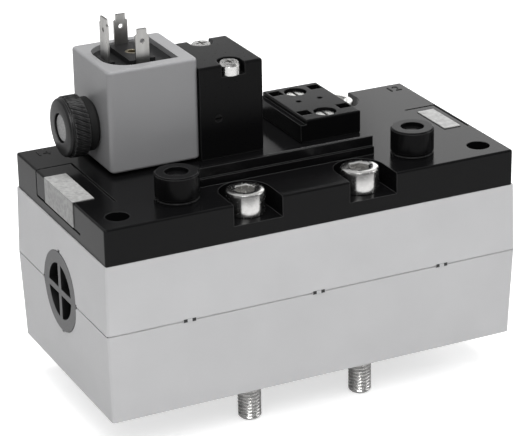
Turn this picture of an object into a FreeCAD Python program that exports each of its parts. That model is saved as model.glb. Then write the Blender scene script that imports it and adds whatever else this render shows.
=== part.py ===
import FreeCAD, Part
import os
import re
import Sketcher

# Directional control valve: a two-part cast body on four long screws, a black top cover
# with a solenoid pilot valve on its left pad and a blanking plate on its right pad.
# +X runs along the long front face to the right, +Y to the rear, +Z up. The origin is
# the centre of the plane that the four screw ends stand on.

DOC = FreeCAD.newDocument("control_valve")

SIZES = (
    # castings and cover
    ("cover_length", 148.0), ("cover_width", 77.6), ("cover_height", 12.5),
    ("lower_height", 30.8), ("upper_height", 23.4), ("gasket_thick", 0.4),
    ("top_spread", 0.5), ("seam_spread", 1.0), ("casting_corner", 1.0),
    ("cover_corner", 0.8), ("cover_edge", 0.7),
    # mounting screws and the pockets that they stand in
    ("screw_length", 74.2), ("screw_radius", 4.0), ("thread_length", 13.0), ("shank_radius", 3.6),
    ("head_radius", 6.5), ("head_height", 8.0),
    ("head_bevel", 0.9), ("socket_flats", 6.0), ("socket_depth", 4.0), ("tip_bevel", 0.9),
    ("screw_play", 0.5), ("pocket_floor", 5.2), ("pocket_radius", 8.65),
    ("front_screw_x", 20.9), ("front_screw_y", 29.0), ("rear_screw_x", 43.9), ("rear_screw_y", 32.2),
    # spool valve on the seam
    ("axis_y", 1.0), ("cavity_radius", 13.0), ("end_wall", 6.0), ("static_gap", 0.06),
    ("port_margin", 10.0), ("port_radius", 6.0), ("port_depth", 14.0), ("port_throat", 5.0),
    ("port_seal_radius", 8.4), ("port_seal_thick", 1.8),
    ("sleeve_tail", 15.0), ("cup_length", 18.0), ("sleeve_bore", 8.0), ("window", 5.0),
    ("groove_width", 9.0), ("groove_depth", 1.7), ("ring_width", 2.4), ("ring_depth", 1.5),
    ("land_length", 6.0), ("neck_radius", 5.0), ("stem_radius", 3.5), ("running_gap", 0.05),
    ("stroke", 11.0), ("stop_gap", 0.1), ("piston_radius", 11.0), ("piston_length", 4.5),
    ("piston_lip", 1.0), ("piston_groove", 1.2), ("seal_gap", 0.1), ("cup_floor", 2.0),
    ("return_length", 13.0), ("return_radius", 10.5), ("cup_flange", 2.0),
    # grille in the left end
    ("grille_radius", 13.9), ("grille_thick", 3.0), ("grille_opening", 9.7), ("grille_bar", 2.2),
    ("grille_sink", 0.1), ("notch_size", 1.8),
    # gaskets
    ("gasket_inset", 0.3), ("tab_width", 4.6), ("tab_height", 1.0), ("tab_pitch", 46.4),
    ("cord_end", 7.0), ("cord_side", 17.3), ("cord_width", 2.0), ("cord_depth", 1.2),
    # rail, corner holes and label seats of the cover
    ("rail_left", 37.5), ("rail_right", 31.2), ("rail_back", 17.8), ("rail_foot", 2.4),
    ("rail_step", 2.8), ("fin_thick", 1.4), ("fin_height", 6.2),
    ("corner_hole_end", 8.2), ("corner_hole_side", 9.0), ("corner_hole_radius", 3.95),
    ("corner_hole_depth", 7.0),
    ("slit", 0.8), ("slit_depth", 0.8),
    ("slit_left_end", 12.9), ("slit_left_rear", 19.8), ("slit_left_front", 18.0), ("slit_left_low", 3.1),
    ("slit_right_end", 12.8), ("slit_right_y", 11.7), ("slit_right_edge", 0.9),
    ("label_thick", 0.3), ("label_left_width", 7.4), ("label_left_front", 12.7), ("label_left_rear", 12.0),
    ("label_left_low", 4.0), ("label_right_end", 10.1), ("label_right_width", 6.3),
    ("label_right_front", 10.7), ("label_right_rear", 8.2),
    # manual overrides in the cover
    ("override_x", 43.0), ("override_y", 25.0), ("guide_radius", 7.3), ("guide_height", 9.4),
    ("spigot_radius", 5.5), ("spigot_length", 5.5), ("button_radius", 3.9), ("button_sink", 1.3),
    ("button_length", 8.8), ("guide_groove", 0.4), ("guide_lug", 1.2),
    ("spring_wire", 0.35), ("spring_radius", 2.6),
    # pilot valve
    ("pilot_left", 22.5), ("pilot_width", 23.2), ("pilot_front", 1.0), ("pilot_depth", 28.6),
    ("pilot_height", 32.4), ("pad_gasket", 0.5), ("pilot_edge", 0.8),
    ("pilot_screw_x", 10.1), ("pilot_screw_inset", 3.3), ("small_screw_radius", 2.0),
    ("pilot_head_radius", 3.8), ("pilot_head_height", 4.0), ("pilot_notch", 4.2), ("pilot_notch_depth", 4.3),
    ("pilot_screw_length", 36.0), ("thread_gap", 0.05), ("air_way", 1.5),
    ("air_x", 2.6), ("air_front", 9.0), ("air_pitch", 7.0),
    ("cam_x", 15.9), ("cam_radius", 1.2), ("cam_length", 11.0),
    # coil on its armature tube
    ("coil_y", 17.6), ("coil_axis", 14.1), ("coil_length", 32.0), ("coil_width", 32.0),
    ("coil_height", 35.2), ("coil_foot", 0.9), ("coil_corner", 1.8), ("coil_edge", 1.0),
    ("coil_bore_gap", 0.1), ("winding_radius", 11.5), ("winding_inset", 6.0), ("plate_thick", 2.5),
    ("plate_radius", 12.0), ("tube_radius", 5.0), ("tube_bore", 4.0), ("tube_flange", 8.0),
    ("flange_thick", 2.0), ("core_face", 24.5), ("tube_end", 10.6),
    ("plunger_travel", 0.9), ("plunger_end_gap", 0.2), ("plunger_length", 32.0), ("tip_radius", 1.6),
    ("tip_length", 1.5), ("seat_gap", 0.05), ("seat_radius", 1.5), ("seat_length", 1.5),
    ("chamber_radius", 4.4),
    ("plunger_spring_radius", 1.7), ("plunger_spring_wire", 0.25), ("plunger_spring_length", 8.0),
    # plug connection on top of the coil
    ("recess_left", 3.0), ("recess_right", 5.2), ("recess_front", 4.0), ("recess_rear", 3.4),
    ("recess_depth", 2.8), ("recess_corner", 9.0), ("recess_gap", 0.1), ("insert_floor", 1.0),
    ("plug_inset", 15.5), ("plug_y", 18.1), ("block_x", 9.0), ("block_y", 18.5), ("block_proud", 0.2),
    ("pin_pitch", 18.0), ("pin_thick", 0.8), ("pin_width", 4.8), ("earth_width", 6.3),
    ("earth_offset", 9.4), ("pin_reach", 10.6), ("earth_reach", 13.3), ("pin_eye", 0.8),
    ("pin_eye_drop", 4.2), ("pin_neck", 2.3), ("pin_shoulder", 0.75), ("pin_slot_gap", 0.05),
    ("bush_radius", 2.2), ("bush_thread", 1.5), ("bush_depth", 1.9),
    # rubber collar and knurled nut
    ("collar_thick", 3.9), ("collar_radius", 9.1), ("collar_lip", 7.8),
    ("nut_length", 7.3), ("nut_radius", 10.4), ("nut_bevel", 0.7), ("nut_face_ring", 0.5),
    ("knurl_count", 36), ("knurl_depth", 0.55),
    # small bevels, slots and play
    ("cord_play", 0.05), ("cord_lift", 0.02),
    ("tab_play", 0.1), ("tab_proud", 0.1), ("throat_lap", 4.0), ("spigot_gap", 0.2),
    ("thread_floor", 0.5), ("guide_bevel", 0.5), ("button_bevel", 0.3), ("pad_margin", 0.3),
    ("small_screw_play", 0.3), ("cam_gap", 0.2), ("cam_slot_width", 0.6), ("cam_slot_depth", 0.7),
    ("screw_end_bevel", 0.4), ("pilot_head_bevel", 0.8), ("cross_reach", 2.0), ("cross_width", 0.8),
    ("cross_depth", 1.5), ("plate_head_bevel", 0.4), ("core_well", 1.2), ("tube_bevel", 0.6),
    ("well_gap", 0.2), ("earth_foot_half", 1.6), ("earth_foot_side", 1.0), ("earth_foot_rise", 0.8),
    ("slot_floor", 0.2), ("bush_under", 0.1), ("bush_play", 0.02), ("pin_seat", 0.25),
    ("pin_slope", 0.5), ("collar_waist", 1.2), ("collar_bevel", 0.4), ("nut_rim", 1.6),
    ("knurl_over", 0.2),
    # blanking plate
    ("plate_left", 16.1), ("plate_width", 21.0), ("plate_front", 0.2), ("plate_depth", 33.5),
    ("plate_height", 7.6), ("plate_gasket", 0.4), ("plate_edge", 0.5), ("ledge_width", 1.9),
    ("ledge_drop", 1.6),
    ("plate_screw_x", 26.0), ("plate_screw_front", 5.2), ("plate_screw_pitch", 22.4),
    ("plate_bore", 4.0), ("plate_bore_depth", 3.4), ("plate_head_radius", 3.5), ("plate_head_height", 2.6),
    ("plate_screw_length", 11.0), ("slot_width", 1.0), ("slot_depth", 1.2),
    ("dimple_x", 7.5), ("dimple_y", 11.0), ("dimple_centre", 18.3), ("dimple_side", 4.4),
    ("dimple_depth", 2.5),
    ("eye_x", 4.1), ("eye_radius", 1.1), ("eye_depth", 2.0),
)

SHEET = DOC.addObject("Spreadsheet::Sheet", "Sizes")
for row, (alias, value) in enumerate(SIZES, start=1):
    SHEET.set(f"A{row}", alias)
    SHEET.set(f"B{row}", str(value))
    SHEET.setAlias(f"B{row}", alias)
DOC.recompute()
ALIASES = {alias for alias, _ in SIZES}

# heights that the pieces share, each worked out from the sizes above
BASE = "(screw_length - lower_height - gasket_thick - upper_height - pocket_floor)"
SEAM = f"({BASE} + lower_height)"
AXIS_Z = f"({SEAM} + gasket_thick / 2)"
UPPER = f"({SEAM} + gasket_thick)"
COVER = f"({UPPER} + upper_height)"
TOP = f"({COVER} + cover_height)"
POCKET = f"({COVER} + pocket_floor)"
COIL_Z = f"({TOP} + coil_axis)"
COIL_RIGHT = "(0 - pilot_left)"
COIL_LEFT = f"({COIL_RIGHT} - coil_length)"
COIL_FRONT = "(coil_y - coil_width / 2)"
COIL_TOP = f"({TOP} + coil_foot + coil_height)"
COLLAR_LEFT = f"({COIL_LEFT} - collar_thick)"
NUT_LEFT = f"({COLLAR_LEFT} - nut_length)"
CORE = f"({COIL_RIGHT} - core_face)"
PLUNGER_LEFT = f"({CORE} + plunger_travel + plunger_end_gap)"
SEAT_FACE = f"({PLUNGER_LEFT} + plunger_length + tip_length + seat_gap)"
PILOT_FOOT = f"({TOP} + pad_gasket)"
PILOT_TOP = f"({TOP} + pilot_height)"
PLATE_TOP = f"({TOP} + plate_gasket + plate_height)"
BODY_HALF = "(cover_length / 2 + seam_spread)"
CAVITY_END = "(cover_length / 2 - end_wall)"
SLEEVE_RIGHT = f"({CAVITY_END} - cup_length)"
PORT_PITCH = f"(({SLEEVE_RIGHT} - port_margin) / 2)"
SLEEVE_LEFT = f"(2 * {PORT_PITCH} + sleeve_tail)"
PORTS = range(-2, 3)
NEAR = 0.01


def tied(expression):
    """The expression with every size word pointed at its cell."""
    return re.sub(r"[a-z][a-z_]+", lambda m: f"Sizes.{m.group()}" if m.group() in ALIASES else m.group(),
                  str(expression))


def number(expression):
    """The expression's present value, worked out by the sheet."""
    return float(SHEET.evalExpression(tied(expression)))


def bind(item, **properties):
    for name, expression in properties.items():
        item.setExpression(name.replace("__", "."), tied(expression))
    return item


def place(item, x, y, z):
    return bind(item, Placement__Base__x=x, Placement__Base__y=y, Placement__Base__z=z)


TURNS = {
    "z": FreeCAD.Rotation(),
    "x": FreeCAD.Rotation(FreeCAD.Vector(0, 1, 0), 90),
    "y": FreeCAD.Rotation(FreeCAD.Vector(1, 0, 0), -90),
}


def box(name, x, y, z, length, width, height):
    item = DOC.addObject("Part::Box", name)
    bind(item, Length=length, Width=width, Height=height)
    return place(item, x, y, z)


def cylinder(name, x, y, z, radius, height, axis="z"):
    item = DOC.addObject("Part::Cylinder", name)
    item.Placement.Rotation = TURNS[axis]
    bind(item, Radius=radius, Height=height)
    return place(item, x, y, z)


def fuse(name, *items):
    item = DOC.addObject("Part::MultiFuse", name)
    item.Shapes = list(items)
    item.Refine = True
    return item


def cut(name, base, *tools):
    item = DOC.addObject("Part::Cut", name)
    item.Base = base
    item.Tool = tools[0] if len(tools) == 1 else fuse(f"{name}_tools", *tools)
    item.Refine = True
    return item


def group(name, *items):
    """Like pieces that share one node, each a solid of its own."""
    item = DOC.addObject("Part::Compound", name)
    item.Links = list(items)
    return item


def rounded(name, base, radius, wanted):
    """The base with the wanted edges rounded; wanted tests an edge's box."""
    DOC.recompute()
    size = number(radius)
    item = DOC.addObject("Part::Fillet", name)
    item.Base = base
    item.Edges = [(n, size, size) for n, edge in enumerate(base.Shape.Edges, start=1)
                  if wanted(edge.BoundBox)]
    return item


def upright(low, high):
    """A test for edges that run from one height to another."""
    return lambda b: abs(b.ZMin - number(low)) < NEAR and abs(b.ZMax - number(high)) < NEAR


def level(height, span=1.0):
    """A test for edges longer than the span that lie flat at one height."""
    return lambda b: abs(b.ZMin - number(height)) < NEAR and b.ZLength < NEAR and b.DiagonalLength > span


def body(name, x=0, y=0, z=0):
    return place(DOC.addObject("PartDesign::Body", name), x, y, z)


def plane(owner, role):
    return next(item for item in owner.Origin.OriginFeatures if item.Role == role)


def outline(owner, role, corners, name):
    """A closed sketch of straight edges with each corner tied to the sheet."""
    sketch = owner.newObject("Sketcher::SketchObject", name)
    sketch.AttachmentSupport = [(plane(owner, role), "")]
    sketch.MapMode = "FlatFace"
    points = [FreeCAD.Vector(number(a), number(b), 0) for a, b in corners]
    count = len(points)
    for n in range(count):
        sketch.addGeometry(Part.LineSegment(points[n], points[(n + 1) % count]), False)
    for n in range(count):
        sketch.addConstraint(Sketcher.Constraint("Coincident", n, 2, (n + 1) % count, 1))
    for n, corner in enumerate(corners):
        for kind, axis, expression, at in (("DistanceX", -2, corner[0], points[n].x),
                                           ("DistanceY", -1, corner[1], points[n].y)):
            if abs(at) < 1e-9:
                sketch.addConstraint(Sketcher.Constraint("PointOnObject", n, 1, axis))
                continue
            index = sketch.addConstraint(Sketcher.Constraint(kind, -1, 1, n, 1, at))
            sketch.setExpression(f"Constraints[{index}]", tied(expression))
    return sketch


def turned(name, corners, x=0, y=0, z=0, axis="x"):
    """A turned piece: its half section is drawn along the axis and spun round it."""
    owner = body(name, x, y, z)
    sketch = outline(owner, {"x": "XY_Plane", "z": "XZ_Plane"}[axis], corners, f"{name}_section")
    spin = owner.newObject("PartDesign::Revolution", f"{name}_spin")
    spin.Profile = sketch
    spin.ReferenceAxis = (sketch, ["H_Axis" if axis == "x" else "V_Axis"])
    spin.Angle = 360.0
    owner.Tip = spin
    return owner


def ring_corners(low, high, inner, outer):
    return ((low, inner), (high, inner), (high, outer), (low, outer))


def tapered_block(name, low, high, low_spread, high_spread):
    """A cast block with draft: its plan grows from one height to the other."""
    item = DOC.addObject("Part::Wedge", name)
    item.Placement.Rotation = FreeCAD.Rotation(FreeCAD.Vector(1, 0, 0), 90)
    for end, spread in (("", low_spread), ("2", high_spread)):
        for axis, size in (("X", "cover_length"), ("Z", "cover_width")):
            item.setExpression(f"{axis}{end}min", tied(f"0 - {size} / 2 - {spread}"))
            item.setExpression(f"{axis}{end}max", tied(f"{size} / 2 + {spread}"))
    bind(item, Ymin="0", Ymax=f"{high} - {low}")
    place(item, 0, 0, low)
    return rounded(f"{name}_rounded", item, "casting_corner", upright(low, high))


SCREW_PLACES = (
    ("front_left", "0 - front_screw_x", "0 - front_screw_y"),
    ("front_right", "front_screw_x", "0 - front_screw_y"),
    ("rear_left", "0 - rear_screw_x", "rear_screw_y"),
    ("rear_right", "rear_screw_x", "rear_screw_y"),
)
SIDES = (("left", "0 - "), ("right", ""))


def screw_bores(name, low, high):
    """Clearance bores for the four mounting screws between two heights."""
    return [cylinder(f"{name}_bore_{where}", x, y, low, "screw_radius + screw_play", f"({high}) - ({low})")
            for where, x, y in SCREW_PLACES]


def cavity(name):
    """The round chamber on the seam, with the grille's wider seat at the left end."""
    left = f"(0 - {BODY_HALF} - 1)"
    main = cylinder(f"{name}_cavity", left, "axis_y", AXIS_Z, "cavity_radius", f"{CAVITY_END} - {left}", "x")
    seat = cylinder(f"{name}_seat", left, "axis_y", AXIS_Z, "grille_radius + static_gap",
                    "grille_thick + grille_sink + 1", "x")
    notches = [
        box(f"{name}_notch_{side}", left, f"axis_y + {dy} - notch_size / 2",
            f"{AXIS_Z} + {dz} - notch_size / 2", "grille_thick / 2 + 1", "notch_size", "notch_size")
        for side, dy, dz in (("top", "0", "grille_radius"), ("low", "0", "(0 - grille_radius)"),
                             ("front", "(0 - grille_radius)", "0"), ("rear", "grille_radius", "0"))
    ]
    return [main, seat] + notches


def tab_slots(name, low):
    """Small notches in the long edges of a casting that show the gasket's tabs."""
    return [
        box(f"{name}_tab_{side}_{n}", f"{n} * tab_pitch - tab_width / 2 - tab_play", start,
            low, "tab_width + 2 * tab_play", "2 * gasket_inset + 1",
            "(tab_height - gasket_thick) / 2 + tab_play / 2")
        for n in (-1, 0, 1)
        for side, start in (("front", "0 - cover_width / 2 - seam_spread - 1"),
                            ("rear", "cover_width / 2 + seam_spread - 2 * gasket_inset"))
    ]


def lower_body():
    """Cast lower block: half of the cavity, five ports down to the mounting face."""
    block = tapered_block("lower_block", BASE, SEAM, "0", "seam_spread")
    ports = []
    for n in PORTS:
        x = f"{n} * {PORT_PITCH}"
        ports += [
            cylinder(f"port_{n + 3}", x, "axis_y", f"{BASE} - 1", "port_radius", "port_depth + 1"),
            cylinder(f"port_throat_{n + 3}", x, "axis_y", f"{BASE} - 1", "port_throat",
                     "lower_height - cavity_radius + throat_lap"),
            cylinder(f"port_seat_{n + 3}", x, "axis_y", f"{BASE} - 1", "port_seal_radius + static_gap",
                     "port_seal_thick + seal_gap + 1"),
        ]
    return cut("lower_body", block, *cavity("lower"), *screw_bores("lower", f"{BASE} - 1", f"{SEAM} + 1"),
               *ports, *tab_slots("lower", f"{SEAM} - (tab_height - gasket_thick) / 2 - tab_play / 2"))


def port_seals():
    """Five flat rubber rings, one in the mouth of each port."""
    rings = []
    for n in PORTS:
        x = f"{n} * {PORT_PITCH}"
        outer = cylinder(f"seal_outer_{n + 3}", x, "axis_y", BASE, "port_seal_radius", "port_seal_thick")
        inner = cylinder(f"seal_inner_{n + 3}", x, "axis_y", f"{BASE} - 1", "port_radius + 2 * seal_gap",
                         "port_seal_thick + 2")
        rings.append(cut(f"port_seal_{n + 3}", outer, inner))
    return group("port_seals", *rings)


def body_gasket():
    """Thin sheet between the castings, with three tabs on each long side."""
    half = "(cover_length / 2 + seam_spread - gasket_inset)"
    side = "(cover_width / 2 + seam_spread - gasket_inset)"
    sheet = box("gasket_sheet", f"0 - {half}", f"0 - {side}", SEAM, f"2 * {half}", f"2 * {side}",
                "gasket_thick")
    tabs = [
        box(f"gasket_tab_{name}_{n}", f"{n} * tab_pitch - tab_width / 2", start,
            f"{AXIS_Z} - tab_height / 2", "tab_width", "gasket_inset + 2 * tab_proud", "tab_height")
        for n in (-1, 0, 1)
        for name, start in (("front", f"0 - {side} - gasket_inset - tab_proud"),
                            ("rear", f"{side} - tab_proud"))
    ]
    return cut("body_gasket", fuse("gasket_blank", sheet, *tabs), *cavity("gasket")[:2],
               *screw_bores("gasket", f"{SEAM} - 1", f"{UPPER} + 1"))


def cord_frame(name, grow, low, height):
    """The rectangular loop that the cover's seal follows."""
    x = f"(cover_length / 2 - cord_end + {grow})"
    y = f"(cover_width / 2 - cord_side + {grow})"
    wall = f"(cord_width + 2 * {grow})"
    outer = box(f"{name}_outer", f"0 - {x}", f"0 - {y}", low, f"2 * {x}", f"2 * {y}", height)
    inner = box(f"{name}_inner", f"{wall} - {x}", f"{wall} - {y}", f"{low} - 1", f"2 * ({x} - {wall})",
                f"2 * ({y} - {wall})", f"{height} + 2")
    return cut(name, outer, inner)


AIR_WAYS = (("supply", "0 - air_x", "air_front"), ("outlet", "0 - air_x", "air_front + air_pitch"),
            ("exhaust", "0 - air_x", "air_front + 2 * air_pitch"))


def air_ways(name, low, high, ways=AIR_WAYS):
    return [cylinder(f"{name}_way_{way}", x, y, low, "air_way", f"({high}) - ({low})") for way, x, y in ways]


def upper_body():
    """Cast upper block: the other half of the cavity, and the cover's seal groove."""
    block = tapered_block("upper_block", UPPER, COVER, "seam_spread", "top_spread")
    groove = cord_frame("upper_groove", "cord_play", f"{COVER} - cord_depth", "cord_depth + 1")
    return cut("upper_body", block, *cavity("upper"), *screw_bores("upper", f"{UPPER} - 1", f"{COVER} + 1"),
               groove, *air_ways("upper", f"{AXIS_Z}", f"{COVER} + 1", AIR_WAYS[:1]),
               *tab_slots("upper", UPPER))


def cover_gasket():
    """Rubber cord in the groove under the cover."""
    return cord_frame("cover_gasket", "0", f"{COVER} - cord_depth + cord_lift", "cord_depth - cord_lift")


def screw_pocket(name, x, y, outward):
    """A pocket with a round end, open to the cover's nearer long face."""
    end = "(cover_width / 2 + 1)"
    start = f"0 - {end}" if outward < 0 else y
    depth = f"{end} + ({y})" if outward < 0 else f"{end} - ({y})"
    return [
        box(f"{name}_way", f"{x} - pocket_radius", start, POCKET, "2 * pocket_radius", depth, "cover_height"),
        cylinder(f"{name}_end", x, y, POCKET, "pocket_radius", "cover_height"),
    ]


def label_slits():
    """Narrow slits that outline the label seats at both ends of the cover."""
    end = "cover_length / 2"
    reach = "(slit_left_end + 1)"
    top = f"{TOP} - slit_depth"
    low = f"({COVER} + slit_left_low)"
    left = f"(0 - {end} - 1)"
    inner = f"({end} - slit_left_end)"
    right = f"({end} - slit_right_end)"
    return [
        box("slit_left_rear", left, "slit_left_rear", top, reach, "slit", "slit_depth + 1"),
        box("slit_left_inner", f"0 - {inner} - slit", "0 - slit_left_front", top, "slit",
            "slit_left_front + slit_left_rear + slit", "slit_depth + 1"),
        box("slit_left_side", left, "slit_left_rear", low, "slit_depth + 1", "slit", f"{TOP} - {low} + 1"),
        box("slit_left_foot", left, "0 - slit_left_front", low, "slit_depth + 1",
            "slit_left_front + slit_left_rear + slit", "slit"),
        box("slit_right_rear", right, "slit_right_y", top, "slit_right_end - slit_right_edge", "slit",
            "slit_depth + 1"),
        box("slit_right_side", f"{end} - slit_right_edge - slit", "0 - slit_right_y", top, "slit",
            "2 * slit_right_y + slit", "slit_depth + 1"),
    ]


def pad_threads(name, places, low):
    """Holes for the threads of small screws, from a depth up through the cover's top."""
    return [cylinder(f"{name}_thread_{n}", x, y, low, "small_screw_radius + thread_gap",
                     f"{TOP} + 1 - ({low})")
            for n, (x, y) in enumerate(places)]


PILOT_SCREWS = (("0 - pilot_screw_x", "pilot_front + pilot_screw_inset"),
                ("0 - pilot_screw_x", "pilot_front + pilot_depth - pilot_screw_inset"))
PLATE_SCREWS = (("plate_screw_x", "plate_front + plate_screw_front"),
                ("plate_screw_x", "plate_front + plate_screw_front + plate_screw_pitch"))
PILOT_TIP = f"({PILOT_TOP} - pilot_notch_depth - pilot_screw_length)"
PLATE_TIP = f"({PLATE_TOP} - plate_bore_depth - plate_screw_length)"


def top_cover():
    """Moulded cover: screw pockets, stepped rail, label seats, override and corner bores."""
    block = box("cover_block", "0 - cover_length / 2", "0 - cover_width / 2", COVER,
                "cover_length", "cover_width", "cover_height")
    corners = rounded("cover_corners", block, "cover_corner", upright(COVER, TOP))
    eased = rounded("cover_eased", corners, "cover_edge", level(TOP))
    step = box("rail_step_bar", "0 - rail_left", "0 - rail_back - rail_foot", f"{TOP} - 1",
               "rail_left + rail_right", "rail_foot", "rail_step + 1")
    fin = box("rail_fin", "0 - rail_left", "0 - rail_back - fin_thick", f"{TOP} - 1",
              "rail_left + rail_right", "fin_thick", "fin_height + 1")
    pockets = []
    for where, x, y in SCREW_PLACES:
        pockets += screw_pocket(f"pocket_{where}", x, y, -1 if where.startswith("front") else 1)
    cleared = cut("cover_pocketed", eased, *pockets)
    railed = fuse("cover_railed", cleared, step, fin)
    bores = []
    for side, sign in SIDES:
        bores.append(cylinder(f"override_bore_{side}", f"{sign}override_x", "0 - override_y",
                              f"{TOP} - spigot_length - spigot_gap", "spigot_radius + static_gap",
                              "spigot_length + 2"))
        bores.append(cylinder(f"corner_bore_{side}", f"{sign}(cover_length / 2 - corner_hole_end)",
                              "corner_hole_side - cover_width / 2",
                              f"{TOP} - corner_hole_depth", "corner_hole_radius", "corner_hole_depth + 1"))
    threads = (pad_threads("pilot_pad", PILOT_SCREWS, f"{PILOT_TIP} - thread_floor")
               + pad_threads("plate_pad", PLATE_SCREWS, f"{PLATE_TIP} - thread_floor"))
    return cut("top_cover", railed, *bores, *screw_bores("cover", f"{COVER} - 1", f"{POCKET} + 1"),
               *label_slits(), *threads, *air_ways("cover", f"{COVER} - 1", f"{TOP} + 1"))


def cap_screw(name, x, y):
    """One mounting screw: socket head with a bevelled rim, reduced shank, bevelled threaded end."""
    shank_corners = (
        ("0", "0"), ("screw_radius - tip_bevel", "0"), ("screw_radius", "tip_bevel"),
        ("screw_radius", "thread_length"), ("shank_radius", "thread_length"),
        ("shank_radius", "screw_length"), ("head_radius", "screw_length"),
        ("head_radius", "screw_length + head_height - head_bevel"),
        ("head_radius - head_bevel", "screw_length + head_height"), ("0", "screw_length + head_height"),
    )
    blank = turned(f"{name}_blank", shank_corners, x, y, 0, "z")
    socket = DOC.addObject("Part::Prism", f"{name}_socket")
    socket.Polygon = 6
    bind(socket, Circumradius="socket_flats / sqrt(3)", Height="socket_depth + 1")
    place(socket, x, y, "screw_length + head_height - socket_depth")
    return cut(name, blank, socket)


def mounting_screws():
    """Four long socket-head screws that go through the cover and both castings."""
    screws = [cap_screw(f"mounting_screw_{where}", x, y) for where, x, y in SCREW_PLACES]
    return group("mounting_screws", *screws)


SEAL_STEPS = (2.35, 1.5, 0.5, -0.5, -1.5, -2.5)
STEM_END = f"(2 * {PORT_PITCH} + window / 2 + stroke + land_length)"
PISTON_LEFT = f"({SLEEVE_RIGHT} + stroke + stop_gap)"


def valve_sleeve():
    """Sleeve with five ported grooves outside and seal grooves between them."""
    skin = "(cavity_radius - static_gap)"
    low = f"({skin} - groove_depth)"
    ring = f"({skin} - ring_depth)"
    corners = [(f"0 - {SLEEVE_LEFT}", "sleeve_bore"), (SLEEVE_RIGHT, "sleeve_bore"), (SLEEVE_RIGHT, skin)]
    places = [(f"{n} * {PORT_PITCH}", "groove_width", low) for n in PORTS]
    rings = [(f"{n} * {PORT_PITCH}", "ring_width", ring) for n in SEAL_STEPS]
    steps = sorted(places + rings, key=lambda step: -number(step[0]))
    for centre, width, depth in steps:
        corners += [(f"{centre} + {width} / 2", skin), (f"{centre} + {width} / 2", depth),
                    (f"{centre} - {width} / 2", depth), (f"{centre} - {width} / 2", skin)]
    corners.append((f"0 - {SLEEVE_LEFT}", skin))
    blank = turned("sleeve_blank", corners, 0, "axis_y", AXIS_Z)
    windows = []
    for n in PORTS:
        left = f"{n} * {PORT_PITCH} - window / 2"
        windows.append(box(f"window_upright_{n + 3}", left, "axis_y - window / 2",
                           f"{AXIS_Z} - cavity_radius", "window", "window", "2 * cavity_radius"))
        windows.append(box(f"window_level_{n + 3}", left, "axis_y - cavity_radius", f"{AXIS_Z} - window / 2",
                           "window", "2 * cavity_radius", "window"))
    return cut("valve_sleeve", blank, *windows)


def sleeve_seals():
    """Six rubber rings that part the five grooves of the sleeve."""
    skin = "(cavity_radius - static_gap)"
    rings = [
        turned(f"sleeve_seal_{n}", ring_corners(f"{step} * {PORT_PITCH} - ring_width / 2 + seal_gap",
                                                f"{step} * {PORT_PITCH} + ring_width / 2 - seal_gap",
                                                f"{skin} - ring_depth + seal_gap / 5",
                                                f"{skin} + static_gap / 2"),
               0, "axis_y", AXIS_Z)
        for n, step in enumerate(SEAL_STEPS, start=1)
    ]
    return group("sleeve_seals", *rings)


def spool():
    """Spool with three lands, a stem to the piston and a short guide at the left."""
    land = "(sleeve_bore - running_gap)"
    mid = "(window / 2)"
    left = f"({mid} - 2 * {PORT_PITCH})"
    right = f"({mid} + 2 * {PORT_PITCH})"
    corners = [
        (f"{left} - land_length / 2", "0"), (STEM_END, "0"), (STEM_END, "stem_radius"),
        (f"{right} + land_length", "stem_radius"),
        (f"{right} + land_length", land), (right, land), (right, "neck_radius"),
        (f"{mid} + land_length", "neck_radius"), (f"{mid} + land_length", land), (mid, land),
        (mid, "neck_radius"),
        (f"{left} + land_length", "neck_radius"), (f"{left} + land_length", land), (left, land),
        (left, "stem_radius"), (f"{left} - land_length / 2", "stem_radius"),
    ]
    return turned("spool", corners, 0, "axis_y", AXIS_Z)


def drive_piston():
    """Piston on the end of the spool's stem, with a groove for its seal."""
    face = "(piston_radius - running_gap)"
    left = PISTON_LEFT
    right = f"({left} + piston_length)"
    hub = "(stem_radius + seal_gap / 10)"
    deep = f"({face} - piston_groove)"
    corners = (
        (left, hub), (STEM_END, hub), (STEM_END, "0"), (right, "0"), (right, face),
        (f"{right} - piston_lip", face), (f"{right} - piston_lip", deep),
        (f"{left} + piston_lip", deep), (f"{left} + piston_lip", face), (left, face),
    )
    return turned("drive_piston", corners, 0, "axis_y", AXIS_Z)


def piston_seal():
    """Rubber ring in the piston's groove."""
    face = "(piston_radius - running_gap)"
    side = "(piston_lip + seal_gap)"
    corners = ring_corners(f"{PISTON_LEFT} + {side}", f"{PISTON_LEFT} + piston_length - {side}",
                           f"{face} - piston_groove + seal_gap / 2", f"{face} - seal_gap / 10")
    return turned("piston_seal", corners, 0, "axis_y", AXIS_Z)


def drive_cup():
    """Cup at the right end of the cavity that the piston runs in."""
    skin = "(cavity_radius - static_gap)"
    corners = (
        (SLEEVE_RIGHT, "piston_radius"), (f"{CAVITY_END} - cup_floor", "piston_radius"),
        (f"{CAVITY_END} - cup_floor", "0"), (CAVITY_END, "0"), (CAVITY_END, skin), (SLEEVE_RIGHT, skin),
    )
    return turned("drive_cup", corners, 0, "axis_y", AXIS_Z)


def return_cup():
    """Cup that closes the sleeve's left end, flanged where it meets the sleeve."""
    skin = "(cavity_radius - static_gap)"
    start = f"(0 - {SLEEVE_LEFT})"
    end = f"({start} - return_length)"
    corners = (
        (start, "sleeve_bore - 1"), (start, skin), (f"{start} - cup_flange", skin),
        (f"{start} - cup_flange", "return_radius"), (end, "return_radius"), (end, "0"),
        (f"{end} + cup_floor", "0"), (f"{end} + cup_floor", "sleeve_bore - 1"),
    )
    return turned("return_cup", corners, 0, "axis_y", AXIS_Z)


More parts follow.
